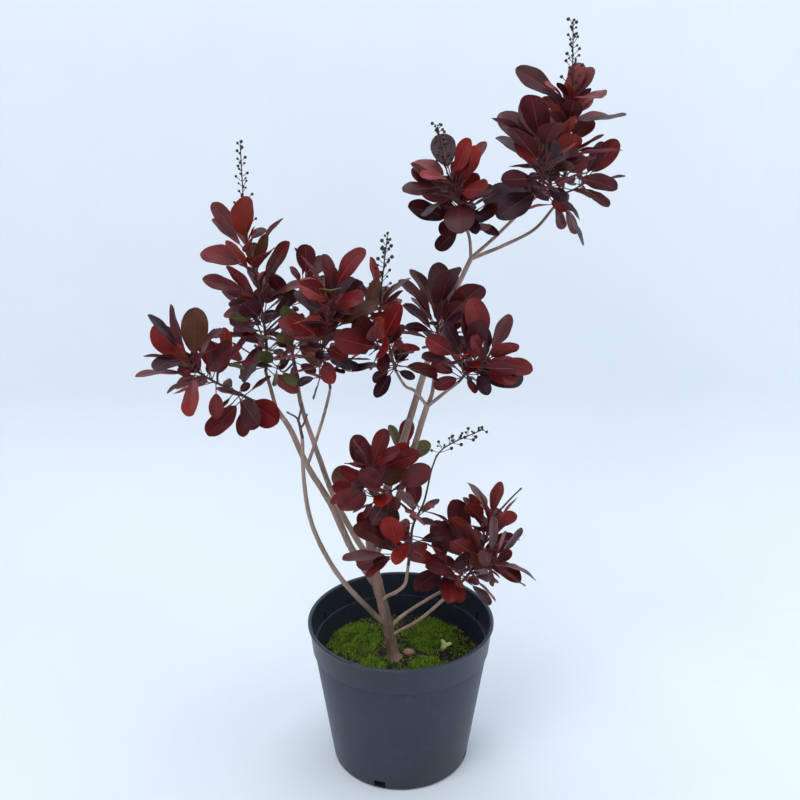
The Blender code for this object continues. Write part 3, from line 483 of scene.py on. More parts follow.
def fruit_shape(root, forward, reach, radius):
    """A fruit on its stalk, with three sides and a pointed end."""
    across = forward.orthogonal().normalized()
    other = forward.cross(across)
    rings = ((0.0, FRUIT_STALK_RADIUS), (reach, FRUIT_STALK_RADIUS),
             (reach + radius * FRUIT_SHOULDER, radius))
    verts = [root + forward * distance + (across * c + other * s) * ring_radius
             for distance, ring_radius in rings for c, s in circle(3)]
    verts.append(root + forward * (reach + radius * FRUIT_LENGTH))
    return verts, [(2, 1, 0), *wall_faces(2, 3), (6, 7, 9), (7, 8, 9), (8, 6, 9)]


def leaf_width(t):
    """The blade's half width at t of its length, as a share of the widest."""
    return LEAF_WIDEST * t ** LEAF_FOOT_POWER * (1 - t) ** LEAF_TIP_POWER


def leaf_point(leaf, t):
    """A point on the midrib, and the blade's upper normal there."""
    bend = leaf.bend if abs(leaf.bend) > LEAST_BEND else LEAST_BEND
    turn = bend * t
    point = (leaf.stalk_end
             + leaf.forward * (leaf.length * math.sin(turn) / bend)
             - leaf.normal * (leaf.length * (1 - math.cos(turn)) / bend))
    return point, leaf.normal * math.cos(turn) + leaf.forward * math.sin(turn)


def leaf_shape(leaf, grow=0.0, stalk_from=0.0):
    """Vertices and faces of a leaf: a three-sided stalk that opens into a keeled blade."""
    rings = []
    for point in (leaf.root.lerp(leaf.stalk_end, stalk_from), leaf.stalk_end):
        rings.append((point, leaf.normal, STALK_RADIUS + grow, STALK_RADIUS + grow, grow))
    for t in LEAF_STATIONS:
        point, normal = leaf_point(leaf, t)
        half = leaf.half_width * leaf_width(t)
        rings.append((point, normal, half + grow, LEAF_THICKNESS + grow,
                      LEAF_FOLD * half + grow))
    verts = []
    for point, normal, half, keel, rise in rings:
        verts += [point + leaf.across * half + normal * rise,
                  point - leaf.across * half + normal * rise,
                  point - normal * keel]
    last = len(verts) - 3
    return verts, [(2, 1, 0), *wall_faces(len(rings) - 1, 3), (last, last + 1, last + 2)]


def draw_leaf(rng, line, place, size, azimuth):
    """One draw of a leaf on a shoot: low leaves spread wide, and high ones stand up."""
    root, axis = along(line, place + rng.uniform(-PLACE_SPREAD, PLACE_SPREAD))
    opening = OPEN_AT_FOOT + (OPEN_AT_TIP - OPEN_AT_FOOT) * place
    opening = math.radians(opening + rng.uniform(-OPENING_SPREAD, OPENING_SPREAD))
    azimuth = math.radians(azimuth + rng.uniform(-AZIMUTH_SPREAD, AZIMUTH_SPREAD))
    radial = Matrix.Rotation(azimuth, 3, axis) @ axis.orthogonal().normalized()
    lift = Vector((0, 0, LIFT))
    forward = axis * math.cos(opening) + radial * math.sin(opening)
    forward = (forward + lift).normalized()
    length = size * rng.uniform(*LENGTH_SHARES)
    stalk = length * rng.uniform(*STALK_SHARES)
    normal = axis * math.sin(opening) - radial * math.cos(opening) + lift
    normal = (normal - forward * normal.dot(forward)).normalized()
    roll = math.radians(rng.uniform(-ROLL_SPREAD, ROLL_SPREAD))
    normal = Matrix.Rotation(roll, 3, forward) @ normal
    half_width = length * rng.uniform(*WIDTH_SHARES)
    bend = math.radians(rng.uniform(*BENDS))
    return Leaf(root, root + forward * stalk, forward, normal.cross(forward), normal,
                length, half_width, bend)


def measure(shape):
    """A shape's search tree, its middle and its reach from there."""
    verts, faces = shape
    middle = sum(verts, Vector()) / len(verts)
    reach = max((vert - middle).length for vert in verts)
    return BVHTree.FromPolygons(verts, faces), middle, reach


class Space:
    """The shapes that a new leaf has to stay clear of."""

    def __init__(self):
        self.taken = []

    def add(self, shape):
        self.taken.append(measure(shape))

    def is_clear(self, shape):
        tree, middle, reach = measure(shape)
        for other, centre, radius in self.taken:
            if (centre - middle).length < reach + radius and tree.overlap(other):
                return False
        return True


def grow_tier(line, place, size, seed, space):
    """Three leaves of one tier. A leaf that finds no clear place is left out."""
    rng = random.Random(seed)
    phase = rng.uniform(0, 360)
    leaves = []
    for turn in range(LEAVES_PER_TIER):
        for _ in range(ATTEMPTS):
            leaf = draw_leaf(rng, line, place, size, phase + turn * GOLDEN_ANGLE)
            tip, _ = leaf_point(leaf, 1.0)
            if (tip - leaf.root).length > LEAF_REACH * size:
                continue
            if space.is_clear(leaf_shape(leaf, LEAF_MARGIN, FREE_STALK_FROM)):
                space.add(leaf_shape(leaf))
                leaves.append(leaf)
                break
    return leaves


def plan_plant(space):
    """Each mass's shoots, fruit and tiers of leaves, laid out so that no leaf meets another."""
    space.add(lathe(pot_profile(), POT_SIDES))
    for limb in LIMBS.values():
        space.add(limb_tube(limb))
    plans = {}
    for name, mass in MASSES.items():
        lines = shoot_lines(mass)
        shapes = [tube(line, taper(line, radius, SHOOT_TIP_RADIUS), SHOOT_SIDES)
                  for line, radius in lines]
        if mass.panicle:
            shapes += fruit_shapes(mass, lines[0][0])
        for shape in shapes:
            space.add(shape)
        plans[name] = {"lines": lines, "tiers": []}
    for number, (name, mass) in enumerate(MASSES.items()):
        seed = number * SEEDS_PER_MASS
        for shoot, (line, _) in zip(mass.shoots, plans[name]["lines"]):
            tiers = []
            for place in shoot.tiers:
                seed += 1
                tiers.append((seed, grow_tier(line, place, shoot.leaf, seed, space)))
            plans[name]["tiers"].append(tiers)
    return plans


def lathe(profile, sides):
    """Vertices and faces of a profile of (radius, height) turned about the Z axis."""
    verts = []
    rings = []
    for radius, height in profile:
        if radius == 0:
            rings.append([len(verts)] * sides)
            verts.append(Vector((0, 0, height)))
            continue
        rings.append(list(range(len(verts), len(verts) + sides)))
        verts += [Vector((radius * c, radius * s, height)) for c, s in circle(sides)]
    faces = []
    for low, high in zip(rings, rings[1:]):
        for k in range(sides):
            after = (k + 1) % sides
            corners = (low[k], low[after], high[after], high[k])
            faces.append(tuple(dict.fromkeys(corners)))
    return verts, faces


def wall_radius(height):
    """The outer radius of the pot's plain cone, below the collar."""
    top = POT_HEIGHT - COLLAR_HEIGHT
    return BASE_RADIUS + (COLLAR_BOTTOM_RADIUS - COLLAR_OVERHANG - BASE_RADIUS) * height / top


def ledge_height():
    return POT_HEIGHT - COLLAR_HEIGHT + LEDGE_RISE


def pot_profile():
    """The pot's section, from the underside's centre out, up, over the rim and down inside."""
    collar_foot = POT_HEIGHT - COLLAR_HEIGHT
    lip_foot = POT_HEIGHT - RIM_LIP_HEIGHT
    ledge = ledge_height()
    collar_inner = COLLAR_BOTTOM_RADIUS - WALL
    cone_top = collar_foot - COLLAR_CHAMFER
    return (
        (0, 0), (BASE_RADIUS - BASE_CHAMFER, 0), (wall_radius(BASE_CHAMFER), BASE_CHAMFER),
        (wall_radius(cone_top), cone_top),
        (COLLAR_BOTTOM_RADIUS, collar_foot), (COLLAR_TOP_RADIUS, lip_foot - LIP_STEP),
        (RIM_RADIUS - LIP_STEP, lip_foot), (RIM_RADIUS, lip_foot + LIP_ROUND),
        (RIM_RADIUS, POT_HEIGHT - RIM_ROUND), (RIM_RADIUS - LIP_ROUND, POT_HEIGHT),
        (RIM_RADIUS - RIM_INNER_EDGE, POT_HEIGHT),
        (RIM_RADIUS - RIM_INNER_WALL, POT_HEIGHT - RIM_INNER_ROUND),
        (collar_inner, ledge), (collar_inner - LEDGE_WIDTH, ledge - LEDGE_SLOPE),
        (wall_radius(SOIL_LEVEL) - WALL, SOIL_LEVEL), (wall_radius(FLOOR) - WALL, FLOOR),
        (0, FLOOR))


def soil_height(x, y):
    """The soil's surface: level round the trunk's foot, and gently uneven elsewhere."""
    bump = math.sin(x * 37 + 1.3) * math.cos(y * 33 - 0.4) + 0.5 * math.sin(x * 49 - y * 41)
    foot = Vector(LIMBS["trunk"].path[0][:2])
    away = (Vector((x, y)) - foot).length / SOIL_FLAT_RADIUS
    return SOIL_LEVEL + SOIL_BUMP * bump * min(max(away - 1, 0.0), 1.0)


# Camera, in metres and degrees
CAMERA_PLACE = (-0.0011, -1.2803, 1.0074)
CAMERA_PITCH = 20.0
CAMERA_LENS = 47.25
CAMERA_SENSOR = 36.0
CAMERA_NEAREST = 0.01

# The sky, and each light's place, target, size, power and colour
SKY = (0.88, 0.94, 1.0, 1)
SKY_STRENGTH = 0.72
LIGHTS = {
    "key": ((-0.9, -1.4, 2.9), (0, 0, 0.4), 1.6, 30, (1, 1, 1)),
    "fill": ((1.8, -0.6, 1.7), (0, 0, 0.5), 1.8, 9, (0.92, 0.96, 1.0)),
    "back": ((0.2, 0.6, 2.6), (0, 0.1, 0.5), 1.2, 16, (1, 1, 1)),
}

# Fine leaf
BLADE_STATIONS = 22
BLADE_COLUMNS = 8
BLADE_START = 0.004
BLADE_SPAN = 0.992
BLADE_THICKNESS = 0.00045
EDGE_WAVE = 0.05
EDGE_WAVE_TURNS = 11
VEIN_PAIRS = 8
VEIN_SLANT = 1.5
VEIN_RELIEF = 0.00028
VEIN_SHARPNESS = 3
STALK_SIDES = 6
STALK_END_RADIUS = 0.0007
STALK_FOOT_GAIN = 0.0008
STALK_FOOT_TAPER = 5
STALK_SAG = 0.015
STALK_SPACING = 0.004
STRAY_TONE = 0.45
LEAF_SEED_STEP = 31
EDGE_WAVE_STARTS = (0, 6.3)
LEAF_BUD = 0.0030
TIP_BUD = 0.0042
BUD_SIDES = 6
# A bud's stations along its length and its radii there, in shares of its size
BUD_STATIONS = (-0.2, 0.25, 0.6, 0.9, 1.1)
BUD_RADII = (0.20, 0.34, 0.30, 0.14, 0.02)
# Share of a shoot's own leaf, and how far below its tier, for each further tier
FILL_SIZES = ((0.84, 0.06), (0.62, 0.12), (0.40, 0.00))
FILL_SEED_STEP = 1000
FILL_LOWEST = 0.05

# The midrib's two faces: where each starts and how far it runs, in shares of the blade,
# how far it hangs under the blade, its radius, how much of that it loses, and its sides
Rib = namedtuple("Rib", "start span drop radius loss sides")
UNDER_RIB = Rib(0.0, 0.94, 0.00058, 0.00065, 0.75, 5)
UPPER_RIB = Rib(0.02, 0.90, 0.0, 0.00042, 0.8, 3)
RIB_STEPS = 6

# Fine limbs
BARK_SPACING = 0.004
BARK_RELIEF = 0.055
SHOOT_RELIEF = 0.04
BARK_SIDES = (28, 18, 12)
SHOOT_BARK_SIDES = 8
GRAIN_ROUND = 2.2
GRAIN_ALONG = 60
GRAIN_GAIN = 2.2
SCAR_SPACING = 0.021
SCAR_RELIEF = 0.10
SCAR_SHARPNESS = 14
SCAR_TURN = 150
SCAR_SHIFT = 0.37
GRAIN_SHIFT = 9.0

# Old fruit. Each drupe has a smaller partner beside it.
DRUPE_STALK_RADII = (0.0005, 0.00038, 0.0005)
DRUPE_STALK_SIDES = 5
DRUPE_STALK_SAG = 0.0006
WRINKLE = 0.16
WRINKLE_SCALE = 900
PANICLE_SIDES = 8
PARTNER_TURN = 2.1
PARTNER_REACH = 0.6
PARTNER_SIZE = 0.8

# Fine soil, moss and pot
FINE_POT_SIDES = 180
# The place of the collar's lower edge in the pot's section, and the groove under it
COLLAR_STEP = 3
GROOVE = 0.0014
GROOVE_HEIGHTS = (0.0060, 0.0030, 0.0008)
LUGS = 14
LUG_SIZE = Vector((0.0026, 0.0050, 0.0110))
LUG_LIFT = 0.001
GROUND_RINGS = 44
GROUND_SIDES = 150
GROUND_RELIEF = 0.0012
GROUND_SCALE = 130
SOIL_DEPTH = 0.02
CRUMBS = 2600
CRUMB_SEED = 11
CRUMB_SIZES = (0.0008, 0.0027)
CRUMB_RISE = 0.3
CRUMB_SPOKES = (0.6, 1.2)
STRAWS = 130
STRAW_LENGTHS = (0.003, 0.012)
STRAW_TILTS = (-0.1, 0.25)
STRAW_RADII = (0.0004, 0.0006, 0.0003)
STRAW_RISE = 0.0012
MOUND_RINGS = 16
MOUND_SIDES = 48
MOUND_SHARE = 0.62
MOUND_EDGE = 0.14
MOUND_SINK = 0.0006
LUMP_SCALE = 75
LUMP_GAIN = 1.1
SPRIGS_PER_AREA = 3000 / 0.0011
SPRIG_LENGTH = 0.0062
SPRIG_SINK = 0.0008
SPRIG_FOOT_RADIUS = 0.00035
SPRIG_TIP_RADIUS = 0.00008
CUSHION_REACH = 1.12
CUSHION_SHARE = 0.60
PATCH_GAIN = 0.8
WORN_BELOW = -0.22
WORN_SHARE = 0.8
SCATTERED_SPRIGS = 9000
SCATTER_SEED = 23
SCATTER_SCALE = 42
SCATTER_FINE_SCALE = 130
SCATTER_FINE_SHARE = 0.4
LOOSE_BELOW = -0.16
LOOSE_RISE = 0.003
BARE_BELOW = 0.18
BARE_FROM_X = 0.055
BARE_TO_Y = 0.02

# Fallen leaf
LEAF_SPOT = Vector((0.064, 0.024, 0.1575))
LEAF_TILT = 0.45
LEAF_RINGS = 6
LEAF_SIDES = 36
LOBES = 3
LOBE_REACH = 0.0072
LOBE_DEPTH = 0.0024
LEAF_CURL = 0.0030
FALLEN_THICKNESS = 0.0005

# Moss sprigs: how far they lean, their shares of the full length, their thickest radius,
# and the draws below which one is pale or deep green and not dry
Sprigs = namedtuple("Sprigs", "lean shares widest pale deep")
CUSHION_SPRIGS = Sprigs(0.6, (0.45, 1.1), 0.00075, 0.50, 0.88)
LOOSE_SPRIGS = Sprigs(0.8, (0.4, 1.0), 0.0008, 0.25, 0.7)

# Floor and the wall behind it
FLOOR_REACH = 30.0
FLOOR_BEND_START = -1.0
FLOOR_DROP = 0.0005
BACK_PLACE = 0.75
BACK_BEND = 0.30
BACK_BEND_STEPS = 12
BACK_HEIGHT = 4.0

# Finishes. Edges sharper than these angles stay sharp in the shading.
PIECE_EDGE = 50
POT_EDGE = 28
PATCH_STOPS = (0.36, 0.66)
FINE_GRAIN = 7
GLOSS_SPREAD = 0.10


def srgb(red, green, blue):
    """A base colour from the 0 to 255 values that the eye sees."""
    return tuple(((v / 255 + 0.055) / 1.055) ** 2.4 if v > 10 else v / 3294
                 for v in (red, green, blue))


def darker(colour, share):
    return tuple(v * share for v in colour)


def polar(away, turn):
    """The x and y at this distance from the Z axis and at this angle."""
    return away * math.cos(turn), away * math.sin(turn)


# A finish: two colours mixed in broad patches, the patches' scale, its roughness and relief,
# the colour of its fine flecks, its sheen, and how its grain is stretched
Finish = namedtuple("Finish", "colour second scale roughness bump flecks specular stretch",
                    defaults=(None, 0.5, (1, 1, 1)))


def shaded(colour, share, *rest, **more):
    """A finish whose second colour is a darker share of the first."""
    return Finish(colour, darker(colour, share), *rest, **more)


# Each tone's colour on the upper side of the blade and on the underside. Crimson and scarlet are
# the leaves' own red painted brighter: painted light shining through the blade from behind.
TONES = {
    "maroon": (srgb(66, 14, 20), srgb(96, 36, 40)),
    "crimson_with_painted_backlight": (srgb(108, 16, 20), srgb(124, 40, 38)),
    "plum": (srgb(50, 18, 34), srgb(88, 40, 50)),
    "dusty": (srgb(98, 34, 36), srgb(122, 58, 56)),
    "bronze": (srgb(88, 46, 28), srgb(106, 64, 48)),
    "olive": (srgb(76, 78, 36), srgb(100, 96, 58)),
    "scarlet_with_painted_backlight": (srgb(138, 26, 20), srgb(146, 50, 38)),
}
HIGH_MIX = ("maroon", "maroon", "maroon", "crimson_with_painted_backlight", "crimson_with_painted_backlight", "plum", "plum", "dusty",
            "scarlet_with_painted_backlight")
LEFT_MIX = ("maroon", "maroon", "crimson_with_painted_backlight", "crimson_with_painted_backlight", "plum", "dusty", "bronze", "scarlet_with_painted_backlight",
            "olive")
INNER_MIX = ("olive", "olive", "olive", "bronze", "bronze", "dusty", "crimson_with_painted_backlight")
LOW_MIX = ("maroon", "crimson_with_painted_backlight", "crimson_with_painted_backlight", "dusty", "dusty", "dusty", "bronze", "scarlet_with_painted_backlight")
MIXES = {
    "far_left_foliage": LEFT_MIX, "left_top_foliage": LEFT_MIX,
    "left_inner_foliage": INNER_MIX, "centre_foliage": LEFT_MIX,
    "low_left_foliage": LOW_MIX, "low_middle_foliage": LOW_MIX,
    "low_back_foliage": LOW_MIX, "low_right_foliage": LOW_MIX,
    "low_behind_foliage": INNER_MIX,
}
BARK_COLOURS = {
    "trunk": srgb(156, 126, 112),
    "stems": srgb(168, 140, 126),
    "shoots_of_root": srgb(192, 156, 138),
}
FINISHES = {
    "rib": shaded(srgb(150, 78, 76), 0.7, 80, 0.5, 0.1),
    "stalk": shaded(srgb(112, 44, 42), 0.6, 70, 0.45, 0.1),
    "twig": shaded(srgb(84, 52, 48), 0.55, 90, 0.6, 0.4, srgb(120, 92, 84)),
    "fruit": shaded(srgb(60, 34, 30), 0.5, 160, 0.6, 0.4, srgb(104, 58, 44)),
    "pot plastic": Finish(srgb(40, 48, 62), srgb(35, 42, 54), 9, 0.40, 0.10,
                          srgb(50, 58, 70), 0.45),
    "soil": Finish(srgb(46, 38, 33), srgb(24, 20, 18), 120, 0.95, 1.0, srgb(104, 84, 66)),
    "straw": shaded(srgb(150, 124, 84), 0.5, 90, 0.85, 0.3),
    "moss mound": shaded(srgb(62, 84, 24), 0.4, 200, 0.95, 1.0),
    "moss pale": shaded(srgb(146, 186, 44), 0.6, 150, 0.8, 0.3),
    "moss dry": shaded(srgb(124, 104, 56), 0.5, 150, 0.85, 0.3),
    "moss deep": shaded(srgb(96, 140, 34), 0.55, 150, 0.85, 0.3),
    "chip": shaded(srgb(178, 128, 108), 0.5, 150, 0.8, 0.8, srgb(214, 176, 150)),
    "fallen leaf": shaded(srgb(196, 206, 128), 0.75, 150, 0.6, 0.3),
    "floor": Finish(srgb(232, 238, 245), srgb(228, 235, 243), 2, 0.9, 0.0, specular=0.1),
}
for tone, (upper, under) in TONES.items():
    FINISHES[f"{tone} blade"] = shaded(upper, 0.62, 55, 0.44, 0.25, specular=0.26)
    FINISHES[f"{tone} underside"] = shaded(under, 0.8, 60, 0.62, 0.2, specular=0.2)
for kind, colour in BARK_COLOURS.items():
    FINISHES[f"{kind} bark"] = shaded(colour, 0.5, 42, 0.78, 0.7, srgb(196, 180, 168),
                                      stretch=(1, 1, 0.22))


class Heap:
    """Vertices and faces of many small shapes, on their way into one piece."""

    def __init__(self):
        self.verts = []
        self.faces = []
        self.slots = []

    def add(self, shape, slots=None):
        verts, faces = shape
        start = len(self.verts)
        self.verts += verts
        self.faces += [tuple(start + k for k in face) for face in faces]
        self.slots += slots or [0] * len(faces)


def add_object(name, data):
    obj = bpy.data.objects.new(name, data)
    bpy.context.scene.collection.objects.link(obj)
    return obj


def add_mesh(name, verts, faces):
    mesh = bpy.data.meshes.new(name)
    mesh.from_pydata([tuple(v) for v in verts], [], faces)
    return add_object(name, mesh)


def take_shape(work):
    """The vertices and faces of a work mesh, which is then freed."""
    work.verts.index_update()
    verts = [vert.co.copy() for vert in work.verts]
    faces = [tuple(vert.index for vert in face.verts) for face in work.faces]
    work.free()
    return verts, faces


def finish_piece(obj, replaces=(), edge=PIECE_EDGE):
    """Smooths a piece's shading, hangs it on the root body and hides the solids that it stands for.
    """
    obj.data.shade_smooth()
    obj.data.set_sharp_from_angle(angle=math.radians(edge))
    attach(obj, "root")
    for node in replaces:
        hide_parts(node)


def make_piece(name, heap, finishes, replaces=()):
    """A mesh piece of the plant, in these finishes."""
    obj = add_mesh(name, heap.verts, heap.faces)
    for finish in finishes:
        obj.data.materials.append(make_material(finish))
    obj.data.polygons.foreach_set("material_index", heap.slots)
    finish_piece(obj, replaces)


def add_node(nodes, kind, values=None):
    """A node of this kind, with these values in its sockets."""
    node = nodes.new("ShaderNode" + kind)
    for name, value in (values or {}).items():
        node.inputs[name].default_value = value
    return node


@cache
def make_material(name):
    """A procedural finish: two colours mixed by noise, with flecks, uneven gloss and relief."""
    finish = FINISHES[name]
    material = bpy.data.materials.new(name)
    material.use_nodes = True
    nodes = material.node_tree.nodes
    link = material.node_tree.links.new
    shader = nodes["Principled BSDF"]
    shader.inputs["Specular IOR Level"].default_value = finish.specular
    place = add_node(nodes, "TexCoord")
    mapping = add_node(nodes, "Mapping", {"Scale": finish.stretch})
    broad = add_node(nodes, "TexNoise", {"Scale": finish.scale, "Detail": 6.0})
    fine = add_node(nodes, "TexNoise", {"Scale": finish.scale * FINE_GRAIN, "Detail": 4.0})
    ramp = add_node(nodes, "ValToRGB")
    colours = (finish.colour, finish.second)
    for stop, position, colour in zip(ramp.color_ramp.elements, PATCH_STOPS, colours):
        stop.position = position
        stop.color = (*colour, 1)
    tint = add_node(nodes, "Mix")
    tint.data_type = "RGBA"
    tint.inputs[7].default_value = (*(finish.flecks or finish.second), 1)
    fleck = add_node(nodes, "MapRange", {"From Min": 0.56, "From Max": 0.74, "To Max": 0.6})
    gloss = add_node(nodes, "MapRange", {
        "To Min": finish.roughness - GLOSS_SPREAD,
        "To Max": min(finish.roughness + GLOSS_SPREAD, 1.0)})
    relief = add_node(nodes, "Bump", {"Strength": finish.bump, "Distance": 0.001})
    for start, out, end, into in (
            (place, "Object", mapping, "Vector"), (mapping, "Vector", broad, "Vector"),
            (mapping, "Vector", fine, "Vector"), (broad, "Fac", ramp, "Fac"),
            (fine, "Fac", fleck, "Value"), (fleck, "Result", tint, 0),
            (ramp, "Color", tint, 6), (tint, 2, shader, "Base Color"),
            (fine, "Fac", gloss, "Value"), (gloss, "Result", shader, "Roughness"),
            (fine, "Fac", relief, "Height"), (relief, "Normal", shader, "Normal")):
        link(start.outputs[out], end.inputs[into])
    return material


def blade_point(leaf, t, side, wave):
    """A point on the upper face of a blade, from its midrib out to its edge."""
    point, normal = leaf_point(leaf, t)
    half = leaf.half_width * leaf_width(t)
    out = abs(side)
    vein = max(math.cos(2 * math.pi * (t * VEIN_PAIRS - out * VEIN_SLANT)), 0.0)
    fade = min(out * 3, 1 - out * 0.6)
    rise = LEAF_FOLD * half * out + VEIN_RELIEF * vein ** VEIN_SHARPNESS * fade
    shift = 2.0 if side > 0 else 0.0
    rise += EDGE_WAVE * half * out ** 2 * math.sin(wave + t * EDGE_WAVE_TURNS + shift)
    return point + leaf.across * (half * side) + normal * rise, normal


def blade(leaf, wave):
    """A closed thin blade, and the slot of each face: 0 above, and 1 below and on the edge."""
    width = BLADE_COLUMNS + 1
    top = []
    under = []
    for row in range(BLADE_STATIONS + 1):
        t = BLADE_START + BLADE_SPAN * row / BLADE_STATIONS
        for column in range(width):
            side = 2 * column / BLADE_COLUMNS - 1
            point, normal = blade_point(leaf, t, side, wave)
            top.append(point)
            under.append(point - normal * BLADE_THICKNESS)
    count = len(top)
    upper = []
    lower = []
    for row in range(BLADE_STATIONS):
        for column in range(BLADE_COLUMNS):
            a = row * width + column
            b = a + width
            upper.append((a, a + 1, b + 1, b))
            lower.append((a + count, b + count, b + 1 + count, a + 1 + count))
        left = row * width
        right = left + BLADE_COLUMNS
        lower.append((left, left + width, left + width + count, left + count))
        lower.append((right, right + count, right + width + count, right + width))
    for column in range(BLADE_COLUMNS):
        last = BLADE_STATIONS * width + column
        lower.append((column, column + count, column + 1 + count, column + 1))
        lower.append((last, last + 1, last + 1 + count, last + count))
    return (top + under, upper + lower), [0] * len(upper) + [1] * len(lower)


def rib_shape(leaf, rib):
    """The midrib, which stands out under the blade and shows as a paler line above."""
    line = []
    radii = []
    for k in range(RIB_STEPS + 1):
        t = rib.start + rib.span * k / RIB_STEPS
        point, normal = leaf_point(leaf, t)
        line.append(point - normal * rib.drop)
        radii.append(rib.radius * (1 - rib.loss * t))
    return tube(line, radii, rib.sides)


def nearest(line, point):
    """The point of a line that lies nearest to the given one."""
    best = line[0]
    for a, b in zip(line, line[1:]):
        step = b - a
        share = min(max((point - a).dot(step) / step.length_squared, 0.0), 1.0)
        spot = a + step * share
        if (spot - point).length < (best - point).length:
            best = spot
    return best


def stalk_shape(leaf, line):
    """A leaf's stalk, thicker where it leaves the twig."""
    start = nearest(line, leaf.root)
    middle = start.lerp(leaf.stalk_end, 0.5) - Vector((0, 0, STALK_SAG)) * leaf.length
    path = smooth_line((start, middle, leaf.stalk_end), STALK_SPACING)
    total = len(path) - 1
    radii = [STALK_END_RADIUS + STALK_FOOT_GAIN * max(0.0, 1 - STALK_FOOT_TAPER * i / total)
             for i in range(total + 1)]
    return tube(path, radii, STALK_SIDES)


def bud(point, heading, size):
    """A pointed bud."""
    line = [point + heading * (size * share) for share in BUD_STATIONS]
    return tube(line, [size * share for share in BUD_RADII], BUD_SIDES)


def bark_tube(line, radii, sides, seed, relief):
    """A round limb with lengthwise grain, leaf scars and swellings."""
    verts, faces = tube(line, radii, sides)
    length = 0.0
    for ring, point in enumerate(line):
        if ring:
            length += (point - line[ring - 1]).length
        scar = math.cos(2 * math.pi * (length / SCAR_SPACING + seed * SCAR_SHIFT))
        scar = SCAR_RELIEF * max(0.0, scar) ** SCAR_SHARPNESS
        for k in range(sides):
            vert = verts[ring * sides + k]
            turn = 2 * math.pi * k / sides
            grain = noise.noise(Vector((*polar(GRAIN_ROUND, turn),
                                        length * GRAIN_ALONG + seed * GRAIN_SHIFT)))
            swell = scar * max(0.0, math.cos(turn - seed - length * SCAR_TURN))
            vert += (vert - point) * (relief * GRAIN_GAIN * grain + swell)
    return verts, faces


def drupe(root, forward, reach, radius):
    """A dry fruit on its thin stalk."""
    end = root + forward * reach
    heap = Heap()
    middle = root.lerp(end, 0.5) - Vector((0, 0, DRUPE_STALK_SAG))
    heap.add(tube([root, middle, end], DRUPE_STALK_RADII, DRUPE_STALK_SIDES))
    ball = bmesh.new()
    bmesh.ops.create_icosphere(ball, subdivisions=2, radius=radius)
    centre = end + forward * radius
    for vert in ball.verts:
        vert.co = vert.co * (1 + WRINKLE * noise.noise(vert.co * WRINKLE_SCALE)) + centre
    heap.add(take_shape(ball))
    return heap.verts, heap.faces


def fill_tiers(line, shoot, seeds, space):
    """Further leaves on the finer twigs, in the room that a shoot's own leaves keep free."""
    tiers = []
    for place, seed in zip(shoot.tiers, seeds):
        for number, (share, back) in enumerate(FILL_SIZES):
            fresh = seed + FILL_SEED_STEP * (number + 1)
            spot = max(place - back, FILL_LOWEST)
            tiers.append((fresh, grow_tier(line, spot, shoot.leaf * share, fresh, space)))
    return tiers


def add_leaves(heaps, leaves, twig, mix, rng):
    """One tier's leaves, most of them in one tone of the mix."""
    tone = rng.choice(mix)
    for leaf in leaves:
        own = rng.choice(mix) if rng.random() < STRAY_TONE else tone
        heaps[own].add(*blade(leaf, rng.uniform(*EDGE_WAVE_STARTS)))
        heaps["leaf_ribs"].add(rib_shape(leaf, UNDER_RIB))
        heaps["leaf_ribs"].add(rib_shape(leaf, UPPER_RIB))
        heaps["leaf_stalks"].add(stalk_shape(leaf, twig))
        heaps["twigs"].add(bud(nearest(twig, leaf.root), leaf.forward, LEAF_BUD))


def add_shoot(heaps, mass_name, number, plan, space):
    """A shoot's bark, its end bud and all its leaves."""
    mass = MASSES[mass_name]
    shoot = mass.shoots[number]
    line, radius = plan["lines"][number]
    twig = smooth_line((line[0], *shoot.path), BARK_SPACING)
    heaps["twigs"].add(bark_tube(twig, taper(twig, radius, SHOOT_TIP_RADIUS), SHOOT_BARK_SIDES,
                                 number + len(mass.shoots), SHOOT_RELIEF))
    heaps["twigs"].add(bud(twig[-1], (twig[-1] - twig[-2]).normalized(), TIP_BUD))
    tiers = plan["tiers"][number]
    tiers = tiers + fill_tiers(line, shoot, [seed for seed, _ in tiers], space)
    for seed, leaves in tiers:
        rng = random.Random(seed * LEAF_SEED_STEP + number)
        add_leaves(heaps, leaves, twig, MIXES.get(mass_name, HIGH_MIX), rng)


def add_panicle(heap, mass, main_line):
    """A stalk of old fruit, with a smaller drupe beside each one."""
    axis, radii, fruits = fruit_places(mass, main_line)
    axis = smooth_line(axis, BARK_SPACING)
    heap.add(tube(axis, taper(axis, radii[0], radii[-1]), PANICLE_SIDES))
    for place in fruits:
        heap.add(drupe(*place))
    for root, forward, reach, radius in fruits:
        forward = Matrix.Rotation(PARTNER_TURN, 3, Vector((0, 0, 1))) @ forward
        heap.add(drupe(root, forward, reach * PARTNER_REACH, radius * PARTNER_SIZE))


def make_crown(plans, space):
    """Leaves in their tones, ribs, stalks, twigs and fruit, each kind joined."""
    finishes = {"leaf_ribs": "rib", "leaf_stalks": "stalk", "twigs": "twig", "old_fruit": "fruit"}
    heaps = {name: Heap() for name in (*TONES, *finishes)}
    for mass_name, mass in MASSES.items():
        plan = plans[mass_name]
        for number in range(len(mass.shoots)):
            add_shoot(heaps, mass_name, number, plan, space)
        if mass.panicle:
            add_panicle(heaps["old_fruit"], mass, plan["lines"][0][0])
    for tone in TONES:
        make_piece(f"leaves_{tone}", heaps[tone], [f"{tone} blade", f"{tone} underside"],
                   list(MASSES) if tone == "maroon" else ())
    for name, finish in finishes.items():
        make_piece(name, heaps[name], [finish])


